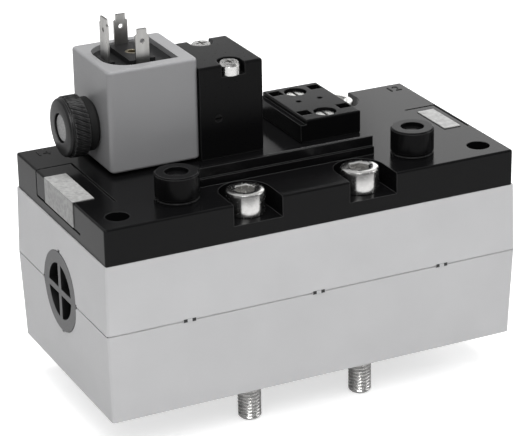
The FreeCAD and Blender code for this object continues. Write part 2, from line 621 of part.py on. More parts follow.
def end_grille():
    """Round dark grille in the left end: a rim, a cross and four quarter openings."""
    face = f"(grille_sink - {BODY_HALF})"
    disc = cylinder("grille_disc", face, "axis_y", AXIS_Z, "grille_radius", "grille_thick", "x")
    well = cylinder("grille_well", f"{face} - 1", "axis_y", AXIS_Z, "grille_opening", "grille_thick + 2", "x")
    upright_bar = box("grille_upright", f"{face} - 2", "axis_y - grille_bar / 2", f"{AXIS_Z} - grille_radius",
                      "grille_thick + 4", "grille_bar", "2 * grille_radius")
    level_bar = box("grille_level", f"{face} - 2", "axis_y - grille_radius", f"{AXIS_Z} - grille_bar / 2",
                    "grille_thick + 4", "2 * grille_radius", "grille_bar")
    openings = cut("grille_openings", well, upright_bar, level_bar)
    return cut("end_grille", disc, openings)


def label_strips():
    """Two blank label strips: the left one is folded over the cover's edge."""
    end = "cover_length / 2"
    flap = box("label_left_top", f"0 - {end} - label_thick", "0 - label_left_front", TOP,
               "label_left_width + label_thick", "label_left_front + label_left_rear", "label_thick")
    drop = box("label_left_drop", f"0 - {end} - label_thick", "0 - label_left_front",
               f"{COVER} + label_left_low", "label_thick", "label_left_front + label_left_rear",
               "cover_height - label_left_low + label_thick")
    left = fuse("label_strip_left", flap, drop)
    right = box("label_strip_right", f"{end} - label_right_end", "0 - label_right_front", TOP,
                "label_right_width", "label_right_front + label_right_rear", "label_thick")
    return left, right


def spring(name, x, y, z, radius, wire, length, turns, axis="z"):
    """A coil spring: six-sided wire along a helix that starts a wire's radius in."""
    pitch = f"(({length} - 2 * {wire}) / {turns})"
    helix = DOC.addObject("Part::Helix", f"{name}_line")
    bind(helix, Pitch=pitch, Height=f"{length} - 2 * {wire}", Radius=radius)
    ring = DOC.addObject("Part::RegularPolygon", f"{name}_wire")
    ring.Polygon = 6
    ring.Placement.Rotation = FreeCAD.Rotation(FreeCAD.Vector(1, 0, 0), 90)
    bind(ring, Circumradius=wire, Placement__Base__x=radius)
    sweep = DOC.addObject("Part::Sweep", name)
    sweep.Sections = [ring]
    sweep.Spine = (helix, [])
    sweep.Solid = True
    sweep.Frenet = True
    sweep.Placement.Rotation = TURNS[axis]
    shift = {"z": (x, y, f"{z} + {wire}"), "x": (f"{x} + {wire}", y, z)}[axis]
    return place(sweep, *shift)


BUTTON_TOP = f"({TOP} + guide_height - button_sink)"
BUTTON_FOOT = f"({BUTTON_TOP} - button_length)"
SPRING_FOOT = f"({TOP} - spigot_length - spigot_gap)"


def override(side, sign):
    """A manual override: a guide pressed into the cover, its button and its spring."""
    x = f"{sign}override_x"
    bore = "(button_radius + running_gap)"
    lift = f"{TOP} - spigot_length"
    corners = (
        (bore, "0"), ("spigot_radius", "0"), ("spigot_radius", "spigot_length"),
        ("guide_radius", "spigot_length"), ("guide_radius", "spigot_length + guide_groove * 2"),
        ("guide_radius - guide_groove", "spigot_length + guide_groove * 2"),
        ("guide_radius - guide_groove", "spigot_length + guide_groove * 4"),
        ("guide_radius", "spigot_length + guide_groove * 4"),
        ("guide_radius", "spigot_length + guide_height - guide_bevel"),
        ("guide_radius - guide_bevel", "spigot_length + guide_height"),
        (bore, "spigot_length + guide_height"),
    )
    sleeve = turned(f"guide_{side}", corners, x, "0 - override_y", lift, "z")
    lug = box(f"guide_lug_{side}", f"{x} - guide_radius - guide_lug / 2", "0 - override_y - guide_lug / 2",
              TOP, "guide_lug", "guide_lug", "guide_lug")
    guide = fuse(f"override_guide_{side}", sleeve, lug)
    button_corners = (
        ("0", "0"), ("button_radius", "0"), ("button_radius", "button_length - button_bevel"),
        ("button_radius - button_bevel", "button_length"), ("0", "button_length"),
    )
    button = turned(f"override_button_{side}", button_corners, x, "0 - override_y", BUTTON_FOOT, "z")
    coil = spring(f"override_spring_{side}", x, "0 - override_y", SPRING_FOOT, "spring_radius",
                  "spring_wire", f"({BUTTON_FOOT} - {SPRING_FOOT})", 4)
    return guide, button, coil


def pad_gasket(name, left, front, width, depth, thick, places, ways=()):
    sheet = box(f"{name}_sheet", f"{left} + pad_margin", f"{front} + pad_margin", TOP,
                f"{width} - 2 * pad_margin", f"{depth} - 2 * pad_margin", thick)
    holes = [cylinder(f"{name}_hole_{n}", x, y, f"{TOP} - 1", "small_screw_radius + small_screw_play",
                      f"{thick} + 2")
             for n, (x, y) in enumerate(places)]
    return cut(name, sheet, *holes, *air_ways(name, f"{TOP} - 1", f"{TOP} + {thick} + 1", ways))


def pilot_body():
    """Moulded pilot valve: notched for its screws, bored for the armature tube."""
    block = box("pilot_block", "0 - pilot_left", "pilot_front", PILOT_FOOT, "pilot_width", "pilot_depth",
                "pilot_height - pad_gasket")
    eased = rounded("pilot_eased", block, "pilot_edge",
                    lambda b: b.ZMax > number(PILOT_TOP) - NEAR and b.XMax > number("0 - pilot_left") + 1)
    tools = []
    for n, (x, y) in enumerate(PILOT_SCREWS):
        floor = f"({PILOT_TOP} - pilot_notch_depth)"
        start = "pilot_front - 1" if n == 0 else y
        tools.append(box(f"pilot_notch_{n}", f"{x} - pilot_notch", start, floor, "2 * pilot_notch",
                         "pilot_screw_inset + 1", "pilot_notch_depth + 1"))
        tools.append(cylinder(f"pilot_notch_end_{n}", x, y, floor, "pilot_notch", "pilot_notch_depth + 1"))
        tools.append(cylinder(f"pilot_screw_bore_{n}", x, y, f"{PILOT_FOOT} - 1",
                              "small_screw_radius + small_screw_play", "pilot_height"))
    mouth = f"({COIL_RIGHT} - 1)"
    tools.append(cylinder("tube_seat", mouth, "coil_y", COIL_Z, "tube_flange + static_gap",
                          "flange_thick + 1", "x"))
    chamber = cylinder("pilot_chamber", mouth, "coil_y", COIL_Z, "chamber_radius",
                       f"{SEAT_FACE} + seat_length - {mouth}", "x")
    seat = cylinder("pilot_seat", SEAT_FACE, "coil_y", COIL_Z, "seat_radius", "seat_length + 1", "x")
    tools.append(cut("pilot_chamber_cut", chamber, seat))
    tools.append(cylinder("cam_bore", "0 - cam_x", "pilot_front - 1", COIL_Z, "cam_radius + running_gap",
                          "cam_length + cam_gap + 1", "y"))
    tools += air_ways("pilot", f"{PILOT_FOOT} - 1", f"{COIL_Z} - chamber_radius - 2")
    return cut("pilot_body", eased, *tools)


def pilot_override():
    """Slotted pin in the pilot's front face that lifts the plunger by hand."""
    pin = cylinder("cam_pin", "0 - cam_x", "pilot_front", COIL_Z, "cam_radius", "cam_length", "y")
    slot = box("cam_slot", "0 - cam_x - cam_radius - 1", "pilot_front - 1", f"{COIL_Z} - cam_slot_width / 2",
               "2 * cam_radius + 2", "cam_slot_depth + 1", "cam_slot_width")
    return cut("pilot_override", pin, slot)


def pilot_screws():
    """Two cross-recessed screws that hold the pilot to the cover."""
    screws = []
    for n, (x, y) in enumerate(PILOT_SCREWS):
        head_top = f"({PILOT_TOP} - pilot_notch_depth + pilot_head_height)"
        blank = turned(f"pilot_screw_blank_{n}", (
            ("0", "0"), ("small_screw_radius - screw_end_bevel", "0"),
            ("small_screw_radius", "screw_end_bevel"),
            ("small_screw_radius", "pilot_screw_length"), ("pilot_head_radius", "pilot_screw_length"),
            ("pilot_head_radius", "pilot_screw_length + pilot_head_height - pilot_head_bevel"),
            ("pilot_head_radius - pilot_head_bevel", "pilot_screw_length + pilot_head_height"),
            ("0", "pilot_screw_length + pilot_head_height")), x, y, PILOT_TIP, "z")
        floor = f"{head_top} - cross_depth"
        across = box(f"pilot_cross_a_{n}", f"{x} - cross_reach", f"{y} - cross_width / 2", floor,
                     "2 * cross_reach", "cross_width", "cross_depth + 1")
        along = box(f"pilot_cross_b_{n}", f"{x} - cross_width / 2", f"{y} - cross_reach", floor,
                    "cross_width", "2 * cross_reach", "cross_depth + 1")
        screws.append(cut(f"pilot_screw_{n}", blank, across, along))
    return group("pilot_screws", *screws)


def blanking_plate():
    """Black plate that closes the right pad, with four square pockets and two small eyes."""
    foot = f"({TOP} + plate_gasket)"
    block = box("plate_block", "plate_left", "plate_front", foot, "plate_width", "plate_depth",
                "plate_height")
    eased = rounded("plate_eased", block, "plate_edge", lambda b: b.ZMax > number(PLATE_TOP) - NEAR)
    ledge = box("plate_ledge", "plate_left - ledge_width", "plate_front", foot, "ledge_width + 1",
                "plate_depth", "plate_height - ledge_drop")
    blank = fuse("plate_blank", eased, ledge)
    tools = []
    for n, (x, y) in enumerate(PLATE_SCREWS):
        tools.append(cylinder(f"plate_bore_{n}", x, y, f"{PLATE_TOP} - plate_bore_depth", "plate_bore",
                              "plate_bore_depth + 1"))
        tools.append(cylinder(f"plate_screw_bore_{n}", x, y, f"{foot} - 1",
                              "small_screw_radius + small_screw_play", "plate_height + 2"))
    centre = "(plate_left + plate_width / 2)"
    for nx in (-1, 1):
        for ny in (-1, 1):
            tools.append(box(f"dimple_{nx + 1}{ny + 1}", f"{centre} + {nx} * dimple_x - dimple_side / 2",
                             f"dimple_centre + {ny} * dimple_y - dimple_side / 2",
                             f"{PLATE_TOP} - dimple_depth", "dimple_side", "dimple_side", "dimple_depth + 1"))
        tools.append(cylinder(f"plate_eye_{nx + 1}", f"{centre} + {nx} * eye_x", "dimple_centre",
                              f"{PLATE_TOP} - eye_depth", "eye_radius", "eye_depth + 1"))
    return cut("blanking_plate", blank, *tools)


def blanking_screws():
    """Two slotted screws sunk in the blanking plate."""
    screws = []
    for n, (x, y) in enumerate(PLATE_SCREWS):
        top = f"({PLATE_TOP} - plate_bore_depth + plate_head_height)"
        blank = turned(f"plate_screw_blank_{n}", (
            ("0", "0"), ("small_screw_radius", "0"), ("small_screw_radius", "plate_screw_length"),
            ("plate_head_radius", "plate_screw_length"),
            ("plate_head_radius", "plate_screw_length + plate_head_height - plate_head_bevel"),
            ("plate_head_radius - plate_head_bevel", "plate_screw_length + plate_head_height"),
            ("0", "plate_screw_length + plate_head_height")), x, y, PLATE_TIP, "z")
        slot = box(f"plate_slot_{n}", f"{x} - slot_width / 2", f"{y} - plate_head_radius - 1",
                   f"{top} - slot_depth", "slot_width", "2 * plate_head_radius + 2", "slot_depth + 1")
        screws.append(cut(f"blanking_screw_{n}", blank, slot))
    return group("blanking_screws", *screws)


TUBE_END = f"({COIL_LEFT} - tube_end)"


def armature_tube():
    """Guide tube with its fixed core: flanged at the pilot, threaded end in the nut."""
    start = f"({COIL_RIGHT} + flange_thick)"
    well = "plunger_spring_radius + plunger_spring_wire * 3"
    corners = (
        (TUBE_END, "0"), (f"{CORE} - core_well", "0"), (f"{CORE} - core_well", well), (CORE, well),
        (CORE, "tube_bore"), (start, "tube_bore"),
        (start, "tube_flange"), (COIL_RIGHT, "tube_flange"), (COIL_RIGHT, "tube_radius"),
        (f"{TUBE_END} + tube_bevel", "tube_radius"), (TUBE_END, "tube_radius - tube_bevel"),
    )
    return turned("armature_tube", corners, 0, "coil_y", COIL_Z)


def plunger():
    """Steel plunger with a bored end for its spring and a rubber tip on the seat."""
    end = f"({PLUNGER_LEFT} + plunger_length)"
    well = "(plunger_spring_radius + plunger_spring_wire * 2)"
    depth = f"({PLUNGER_LEFT} - plunger_travel - well_gap + plunger_spring_length)"
    side = "(tube_bore - running_gap)"
    corners = (
        (PLUNGER_LEFT, well), (depth, well), (depth, "0"), (f"{end} + tip_length", "0"),
        (f"{end} + tip_length", "tip_radius"), (end, "tip_radius"), (end, side), (PLUNGER_LEFT, side),
    )
    return turned("plunger", corners, 0, "coil_y", COIL_Z)


def plunger_spring():
    """Light spring that pushes the plunger back to its seat."""
    return spring("plunger_spring", CORE, "coil_y", COIL_Z, "plunger_spring_radius",
                  "plunger_spring_wire", "plunger_spring_length", 6, "x")


RECESS_X = f"({COIL_LEFT} + recess_left)"
RECESS_Y = f"({COIL_FRONT} + recess_front)"
RECESS_LENGTH = "(coil_length - recess_left - recess_right)"
RECESS_WIDTH = "(coil_width - recess_front - recess_rear)"


def recess_prism(name, inset, low, height):
    """The recess's outline, square to the right and well rounded to the left."""
    block = box(f"{name}_block", f"{RECESS_X} + {inset}", f"{RECESS_Y} + {inset}", low,
                f"{RECESS_LENGTH} - 2 * {inset}", f"{RECESS_WIDTH} - 2 * {inset}", height)
    left = number(f"{RECESS_X} + {inset}")
    return rounded(name, block, f"recess_corner - {inset}",
                   lambda b: b.XMax < left + NEAR and b.ZLength > NEAR and b.YLength < NEAR)


def coil_housing():
    """Grey moulded coil: rounded block, bored along X, recessed on top for the plug."""
    low = f"({TOP} + coil_foot)"
    block = box("coil_block", COIL_LEFT, COIL_FRONT, low, "coil_length", "coil_width", "coil_height")
    corners = rounded("coil_corners", block, "coil_corner", upright(low, COIL_TOP))
    eased = rounded("coil_eased", corners, "coil_edge",
                    lambda b: b.ZLength < NEAR and b.DiagonalLength > 10 * NEAR)
    recess = recess_prism("coil_recess", "0", f"{COIL_TOP} - recess_depth", "recess_depth + 1")
    bore = cylinder("coil_bore", f"{COIL_LEFT} - 1", "coil_y", COIL_Z, "tube_radius + coil_bore_gap",
                    "coil_length + 2", "x")
    room = cylinder("winding_room", f"{COIL_LEFT} + winding_inset - plate_thick", "coil_y", COIL_Z,
                    "plate_radius", "coil_length - 2 * winding_inset + 2 * plate_thick", "x")
    return cut("coil_housing", eased, recess, bore, room)


def coil_winding():
    """Copper winding on its bobbin, moulded into the coil."""
    corners = ring_corners(f"{COIL_LEFT} + winding_inset", f"{COIL_RIGHT} - winding_inset",
                           "tube_radius + coil_bore_gap", "winding_radius")
    return turned("coil_winding", corners, 0, "coil_y", COIL_Z)


def yoke_plates():
    """Two steel flux plates, one at each end of the winding."""
    inner = "tube_radius + coil_bore_gap"
    left = turned("yoke_plate_left", ring_corners(f"{COIL_LEFT} + winding_inset - plate_thick",
                                                  f"{COIL_LEFT} + winding_inset", inner, "plate_radius"),
                  0, "coil_y", COIL_Z)
    right = turned("yoke_plate_right", ring_corners(f"{COIL_RIGHT} - winding_inset",
                                                    f"{COIL_RIGHT} - winding_inset + plate_thick", inner,
                                                    "plate_radius"), 0, "coil_y", COIL_Z)
    return group("yoke_plates", left, right)


INSERT_Z = f"({COIL_TOP} - recess_depth)"
PLUG_X = f"({COIL_LEFT} + plug_inset)"
PIN_PLACES = (
    ("contact_pin_front", PLUG_X, "plug_y - pin_pitch / 2", "pin_width", "pin_reach", "x"),
    ("contact_pin_rear", PLUG_X, "plug_y + pin_pitch / 2", "pin_width", "pin_reach", "x"),
    ("earth_pin", f"({PLUG_X} - earth_offset)", "plug_y", "earth_width", "earth_reach", "y"),
)


def connector_insert():
    """Black insert in the coil's recess: a floor, a raised block, slots and a bush bore."""
    floor = recess_prism("insert_floor_plate", "recess_gap", INSERT_Z, "insert_floor")
    block = box("insert_block", f"{PLUG_X} - block_x / 2", "plug_y - block_y / 2", INSERT_Z, "block_x",
                "block_y", "recess_depth + block_proud")
    foot = box("earth_foot", f"{PLUG_X} - earth_offset - earth_foot_half",
               "plug_y - earth_width / 2 - earth_foot_side", INSERT_Z, "2 * earth_foot_half",
               "earth_width + 2 * earth_foot_side", "insert_floor + earth_foot_rise")
    slots = []
    for name, x, y, width, _, along in PIN_PLACES:
        wide, thick = f"({width} + 2 * pin_slot_gap)", "(pin_thick + 2 * pin_slot_gap)"
        length, depth = (wide, thick) if along == "x" else (thick, wide)
        slots.append(box(f"{name}_slot", f"{x} - {length} / 2", f"{y} - {depth} / 2",
                         f"{INSERT_Z} + slot_floor", length, depth, "recess_depth + 2"))
    bush = cylinder("bush_bore", PLUG_X, "plug_y", f"{COIL_TOP} + block_proud - bush_depth - bush_under",
                    "bush_radius + bush_play", "bush_depth + 2")
    return cut("connector_insert", fuse("insert_blank", floor, block, foot), *slots, bush)


def plug_bush():
    """Small threaded brass bush for the plug's central screw."""
    outer = cylinder("bush_outer", PLUG_X, "plug_y", f"{COIL_TOP} + block_proud - bush_depth", "bush_radius",
                     "bush_depth")
    inner = cylinder("bush_inner", PLUG_X, "plug_y", f"{COIL_TOP} + block_proud - bush_depth - 1",
                     "bush_thread", "bush_depth + 2")
    return cut("plug_bush", outer, inner)


def blade(name, x, y, width, reach, along):
    """A flat contact blade: shouldered tip and a round eye below it."""
    owner = body(name, x, y, f"{INSERT_Z} + pin_seat")
    top = f"(recess_depth - pin_seat + {reach})"
    half = f"({width} / 2)"
    corners = (
        (f"0 - {half}", "0"), (half, "0"), (half, f"{top} - pin_neck"),
        (f"{half} - pin_shoulder", f"{top} - pin_neck + pin_slope"),
        (f"{half} - pin_shoulder", top), (f"pin_shoulder - {half}", top),
        (f"pin_shoulder - {half}", f"{top} - pin_neck + pin_slope"), (f"0 - {half}", f"{top} - pin_neck"),
    )
    role = {"x": "XZ_Plane", "y": "YZ_Plane"}[along]
    sketch = outline(owner, role, corners, f"{name}_outline")
    pad = owner.newObject("PartDesign::Pad", f"{name}_pad")
    pad.Profile = sketch
    pad.Midplane = True
    bind(pad, Length="pin_thick")
    DOC.recompute()
    eye = owner.newObject("Sketcher::SketchObject", f"{name}_eye")
    eye.AttachmentSupport = [(plane(owner, role), "")]
    eye.MapMode = "FlatFace"
    height = number(f"{top} - pin_eye_drop")
    circle = Part.Circle(FreeCAD.Vector(0, height, 0), FreeCAD.Vector(0, 0, 1), number("pin_eye"))
    eye.addGeometry(circle, False)
    eye.addConstraint(Sketcher.Constraint("PointOnObject", 0, 3, -2))
    rise = eye.addConstraint(Sketcher.Constraint("DistanceY", -1, 1, 0, 3, height))
    eye.setExpression(f"Constraints[{rise}]", tied(f"{top} - pin_eye_drop"))
    radius = eye.addConstraint(Sketcher.Constraint("Radius", 0, number("pin_eye")))
    eye.setExpression(f"Constraints[{radius}]", tied("pin_eye"))
    pocket = owner.newObject("PartDesign::Pocket", f"{name}_pocket")
    pocket.Profile = eye
    pocket.Type = "ThroughAll"
    pocket.Midplane = True
    owner.Tip = pocket
    return owner


def coil_collar():
    """Rubber collar between the coil and the nut, waisted where it meets the coil."""
    corners = (
        (COLLAR_LEFT, "tube_radius + running_gap"), (COIL_LEFT, "tube_radius + running_gap"),
        (COIL_LEFT, "collar_lip"), (f"{COIL_LEFT} - collar_waist", "collar_radius"),
        (f"{COLLAR_LEFT} + collar_bevel", "collar_radius"), (COLLAR_LEFT, "collar_radius - collar_bevel"),
    )
    return turned("coil_collar", corners, 0, "coil_y", COIL_Z)


def coil_nut():
    """Knurled hand nut: a turned blank with V grooves repeated round its rim."""
    corners = (
        (NUT_LEFT, "tube_radius + running_gap"), (COLLAR_LEFT, "tube_radius + running_gap"),
        (COLLAR_LEFT, "nut_radius - nut_bevel"), (f"{COLLAR_LEFT} - nut_bevel", "nut_radius"),
        (f"{NUT_LEFT} + nut_rim", "nut_radius"), (f"{NUT_LEFT} + nut_rim", "nut_radius - nut_face_ring"),
        (f"{NUT_LEFT} + nut_bevel", "nut_radius - nut_face_ring"),
        (NUT_LEFT, "nut_radius - nut_face_ring - nut_bevel"),
    )
    owner = turned("coil_nut", corners, 0, "coil_y", COIL_Z)
    DOC.recompute()
    groove_corners = (("0 - knurl_depth", "nut_radius + knurl_over"), ("0", "nut_radius - knurl_depth"),
                      ("knurl_depth", "nut_radius + knurl_over"))
    sketch = outline(owner, "YZ_Plane", groove_corners, "knurl_section")
    bind(sketch, AttachmentOffset__Base__z=COLLAR_LEFT)
    groove = owner.newObject("PartDesign::Pocket", "knurl_groove")
    groove.Profile = sketch
    groove.Reversed = False
    bind(groove, Length="nut_length - nut_rim")
    pattern = owner.newObject("PartDesign::PolarPattern", "knurl")
    pattern.Originals = [groove]
    pattern.Axis = (next(item for item in owner.Origin.OriginFeatures if item.Role == "X_Axis"), [""])
    pattern.Angle = 360.0
    pattern.Occurrences = int(number("knurl_count"))
    owner.Tip = pattern
    return owner


def build():
    """Makes every sub-part and returns them under their node names."""
    nodes = [
        lower_body(), port_seals(), body_gasket(), upper_body(), cover_gasket(), top_cover(),
        mounting_screws(),
        valve_sleeve(), sleeve_seals(), spool(), drive_piston(), piston_seal(), drive_cup(), return_cup(),
        end_grille(), *label_strips(),
    ]
    for side, sign in SIDES:
        nodes += override(side, sign)
    nodes += [
        pad_gasket("pilot_gasket", "(0 - pilot_left)", "pilot_front", "pilot_width", "pilot_depth",
                   "pad_gasket",
                   PILOT_SCREWS, AIR_WAYS),
        pilot_body(), pilot_override(), pilot_screws(),
        pad_gasket("blanking_gasket", "(plate_left - ledge_width)", "plate_front",
                   "(plate_width + ledge_width)",
                   "plate_depth", "plate_gasket", PLATE_SCREWS),
        blanking_plate(), blanking_screws(), armature_tube(), plunger(), plunger_spring(), coil_housing(),
        coil_winding(), yoke_plates(), connector_insert(), plug_bush(),
    ]
    nodes += [blade(*pin) for pin in PIN_PLACES]
    nodes += [coil_collar(), coil_nut()]
    for node in nodes:
        node.Label = node.Name
    DOC.recompute()
    return nodes


def check(nodes):
    """Stops on any failed feature or empty, open or invalid piece."""
    for item in DOC.Objects:
        if {"Invalid", "Error"} & set(item.State):
            raise RuntimeError(f"{item.Label} failed: {item.State}")
    for node in nodes:
        if node.Shape.isNull() or not node.Shape.isValid() or not node.Shape.Solids:
            raise RuntimeError(f"{node.Label} has no valid solid")


PARTS = build()
check(PARTS)
os.makedirs("parts", exist_ok=True)
for part in PARTS:
    part.Shape.exportStep(f"parts/{part.Label}.step")
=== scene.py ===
import math
import bmesh
import bpy
from mathutils import Matrix, Vector


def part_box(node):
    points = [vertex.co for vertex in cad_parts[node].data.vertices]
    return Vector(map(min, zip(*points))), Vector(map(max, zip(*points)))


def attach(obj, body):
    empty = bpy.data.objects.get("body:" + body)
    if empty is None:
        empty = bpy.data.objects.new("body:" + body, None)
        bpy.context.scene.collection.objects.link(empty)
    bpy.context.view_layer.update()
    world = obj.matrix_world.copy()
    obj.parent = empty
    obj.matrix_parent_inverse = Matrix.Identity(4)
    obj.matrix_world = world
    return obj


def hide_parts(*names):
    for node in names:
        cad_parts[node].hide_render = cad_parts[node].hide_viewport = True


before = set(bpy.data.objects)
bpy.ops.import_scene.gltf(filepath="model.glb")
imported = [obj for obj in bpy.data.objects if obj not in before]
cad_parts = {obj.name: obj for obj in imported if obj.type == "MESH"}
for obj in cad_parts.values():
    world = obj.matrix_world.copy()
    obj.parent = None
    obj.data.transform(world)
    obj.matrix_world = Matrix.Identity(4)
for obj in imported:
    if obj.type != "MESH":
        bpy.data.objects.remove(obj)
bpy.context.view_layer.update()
MM = 0.001

# The viewpoint. A long lens stands to the front left and above, as the photograph's did,
# turned a degree out of level.
VIEW_TURN = math.radians(-25.71)
VIEW_TILT = math.radians(22.57)
VIEW_ROLL = math.radians(-1.0)
COVER_FOOT_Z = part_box("top_cover")[0][2]
VIEW_DISTANCE = 787.5 * MM
VIEW_SIDE = 0.11 * MM
VIEW_LIFT = 11.0 * MM
SENSOR_WIDTH = 36.0
FOCAL_LENGTH = 158.78
NEAREST_SEEN = 10.0 * MM


def add_object(name, data):
    """A new object that is linked to the scene."""
    thing = bpy.data.objects.new(name, data)
    bpy.context.scene.collection.objects.link(thing)
    return thing


view_forward = Vector((-math.sin(VIEW_TURN) * math.cos(VIEW_TILT),
                       math.cos(VIEW_TURN) * math.cos(VIEW_TILT), -math.sin(VIEW_TILT)))
level_right = Vector((math.cos(VIEW_TURN), math.sin(VIEW_TURN), 0.0))
level_up = level_right.cross(view_forward)
view_right = math.cos(VIEW_ROLL) * level_right + math.sin(VIEW_ROLL) * level_up
view_up = math.cos(VIEW_ROLL) * level_up - math.sin(VIEW_ROLL) * level_right
view_place = (Vector((0, 0, COVER_FOOT_Z)) - view_forward * VIEW_DISTANCE
              - view_right * VIEW_SIDE - view_up * VIEW_LIFT)
camera_data = bpy.data.cameras.new("viewpoint")
camera_data.sensor_width = SENSOR_WIDTH
camera_data.lens = FOCAL_LENGTH
camera_data.clip_start = NEAREST_SEEN
camera = add_object("viewpoint", camera_data)
camera.matrix_world = Matrix((
    (view_right.x, view_up.x, -view_forward.x, view_place.x),
    (view_right.y, view_up.y, -view_forward.y, view_place.y),
    (view_right.z, view_up.z, -view_forward.z, view_place.z),
    (0, 0, 0, 1),
))
bpy.context.scene.camera = camera
bpy.context.scene.view_settings.view_transform = "Standard"

# Studio light. A pale world gives the even fill, and soft boxes above, left and right, with
# a card behind, shape the edges. The backdrop is white, and gloss sees a grey room that
# darkens towards the side that the photograph was taken from.
WORLD_FILL = (0.42, 0.42, 0.425)
ROOM_BACK = (0.55, 0.55, 0.55)
ROOM_FRONT = (0.16, 0.16, 0.16)
ROOM_DARK_FROM = -0.35
ROOM_WHITE_FROM = 0.45
WHITE = (1, 1, 1)
# Each lamp's name, place, aim, size and power, and whether gloss shows it.
LAMPS = (
    ("key_box", (-0.35, -0.55, 0.75), (0, 0, 0.07), 0.5, 4.5, True),
    ("side_box", (0.75, -0.25, 0.45), (0, 0, 0.07), 0.5, 1.8, True),
    ("back_card", (0.29, 0.42, 0.27), (0.05, 0, 0.08), 0.3, 0.3, True),
    ("top_box", (0.02, -0.03, 0.95), (0, 0, 0.08), 0.6, 8.5, False),
)
# Where a colour mix takes its two colours, and where it gives the result.
MIX_FIRST, MIX_SECOND, MIX_RESULT = 6, 7, 2


def put(tree, kind, **values):
    """A node with its properties set; a key that ends in an underscore names a socket."""
    node = tree.nodes.new(kind)
    for key, value in values.items():
        if key.endswith("_"):
            node.inputs[key[:-1].replace("_", " ")].default_value = value
        else:
            setattr(node, key, value)
    return node


def wire(tree, *pairs):
    """Joins (node, socket) outputs to (node, socket) inputs."""
    for (start, outlet), (end, inlet) in pairs:
        tree.links.new(start.outputs[outlet], end.inputs[inlet])


def colour_mix(tree, **colours):
    """A mix of a first and a second colour; one that isn't given comes in by a wire."""
    node = put(tree, "ShaderNodeMix", data_type="RGBA")
    for key, socket in (("first", MIX_FIRST), ("second", MIX_SECOND)):
        if key in colours:
            node.inputs[socket].default_value = (*colours[key], 1)
    return node


world = bpy.data.worlds.new("studio")
bpy.context.scene.world = world
world.use_nodes = True
sky = world.node_tree
sky.nodes.clear()
rays = put(sky, "ShaderNodeLightPath")
fill = put(sky, "ShaderNodeBackground", Color_=(*WORLD_FILL, 1), Strength_=1.0)
mirrored = put(sky, "ShaderNodeBackground", Strength_=1.0)
heading = put(sky, "ShaderNodeTexCoord")
heading_parts = put(sky, "ShaderNodeSeparateXYZ")
depth_share = put(sky, "ShaderNodeMapRange", interpolation_type="SMOOTHSTEP",
                  From_Min_=ROOM_DARK_FROM, From_Max_=ROOM_WHITE_FROM)
room = colour_mix(sky, first=ROOM_FRONT, second=ROOM_BACK)
backdrop = put(sky, "ShaderNodeBackground", Color_=(*WHITE, 1), Strength_=1.0)
gloss_choice = put(sky, "ShaderNodeMixShader")
camera_choice = put(sky, "ShaderNodeMixShader")
sky_out = put(sky, "ShaderNodeOutputWorld")
wire(sky, ((heading, "Generated"), (heading_parts, 0)), ((heading_parts, "Y"), (depth_share, "Value")),
     ((depth_share, 0), (room, 0)), ((room, MIX_RESULT), (mirrored, 0)),
     ((rays, "Is Glossy Ray"), (gloss_choice, 0)), ((fill, 0), (gloss_choice, 1)),
     ((mirrored, 0), (gloss_choice, 2)), ((rays, "Is Camera Ray"), (camera_choice, 0)),
     ((gloss_choice, 0), (camera_choice, 1)), ((backdrop, 0), (camera_choice, 2)),
     ((camera_choice, 0), (sky_out, 0)))

for name, place, aim, size, power, shows in LAMPS:
    lamp_data = bpy.data.lights.new(name, "AREA")
    lamp_data.shape = "SQUARE"
    lamp_data.size = size
    lamp_data.energy = power
    lamp = add_object(name, lamp_data)
    lamp.location = place
    lamp.visible_glossy = shows
    lamp.rotation_euler = (Vector(aim) - Vector(place)).to_track_quat("-Z", "Y").to_euler()

# The floor. A plain pale sheet that the four screw ends stand on and that takes the shadow.
# The camera sees it lit up to white, and everything else sees its plain tone.
FLOOR_HALF = 3.0
FLOOR_TONE = 0.62


def blank_paint(name):
    """A material with an empty node tree, and that tree."""
    paint = bpy.data.materials.new(name)
    paint.use_nodes = True
    paint.node_tree.nodes.clear()
    return paint, paint.node_tree


def studio_sheet(name, corners, paint):
    """A flat painted sheet between four corners."""
    mesh = bpy.data.meshes.new(name)
    mesh.from_pydata(corners, [], [(0, 1, 2, 3)])
    mesh.materials.append(paint)
    return add_object(name, mesh)


floor_paint, floor_tree = blank_paint("studio_floor")
floor_rays = put(floor_tree, "ShaderNodeLightPath")
floor_matte = put(floor_tree, "ShaderNodeBsdfDiffuse", Color_=(FLOOR_TONE, FLOOR_TONE, FLOOR_TONE, 1))
floor_glow = put(floor_tree, "ShaderNodeEmission", Color_=(*WHITE, 1), Strength_=FLOOR_TONE)
floor_sum = put(floor_tree, "ShaderNodeAddShader")
floor_pick = put(floor_tree, "ShaderNodeMixShader")
floor_out = put(floor_tree, "ShaderNodeOutputMaterial")
wire(floor_tree, ((floor_matte, 0), (floor_sum, 0)), ((floor_glow, 0), (floor_sum, 1)),
     ((floor_rays, "Is Camera Ray"), (floor_pick, 0)), ((floor_matte, 0), (floor_pick, 1)),
     ((floor_sum, 0), (floor_pick, 2)), ((floor_pick, 0), (floor_out, 0)))
floor_corners = [(FLOOR_HALF * x, FLOOR_HALF * y, 0) for x, y in ((-1, -1), (1, -1), (1, 1), (-1, 1))]
floor = studio_sheet("studio_floor", floor_corners, floor_paint)

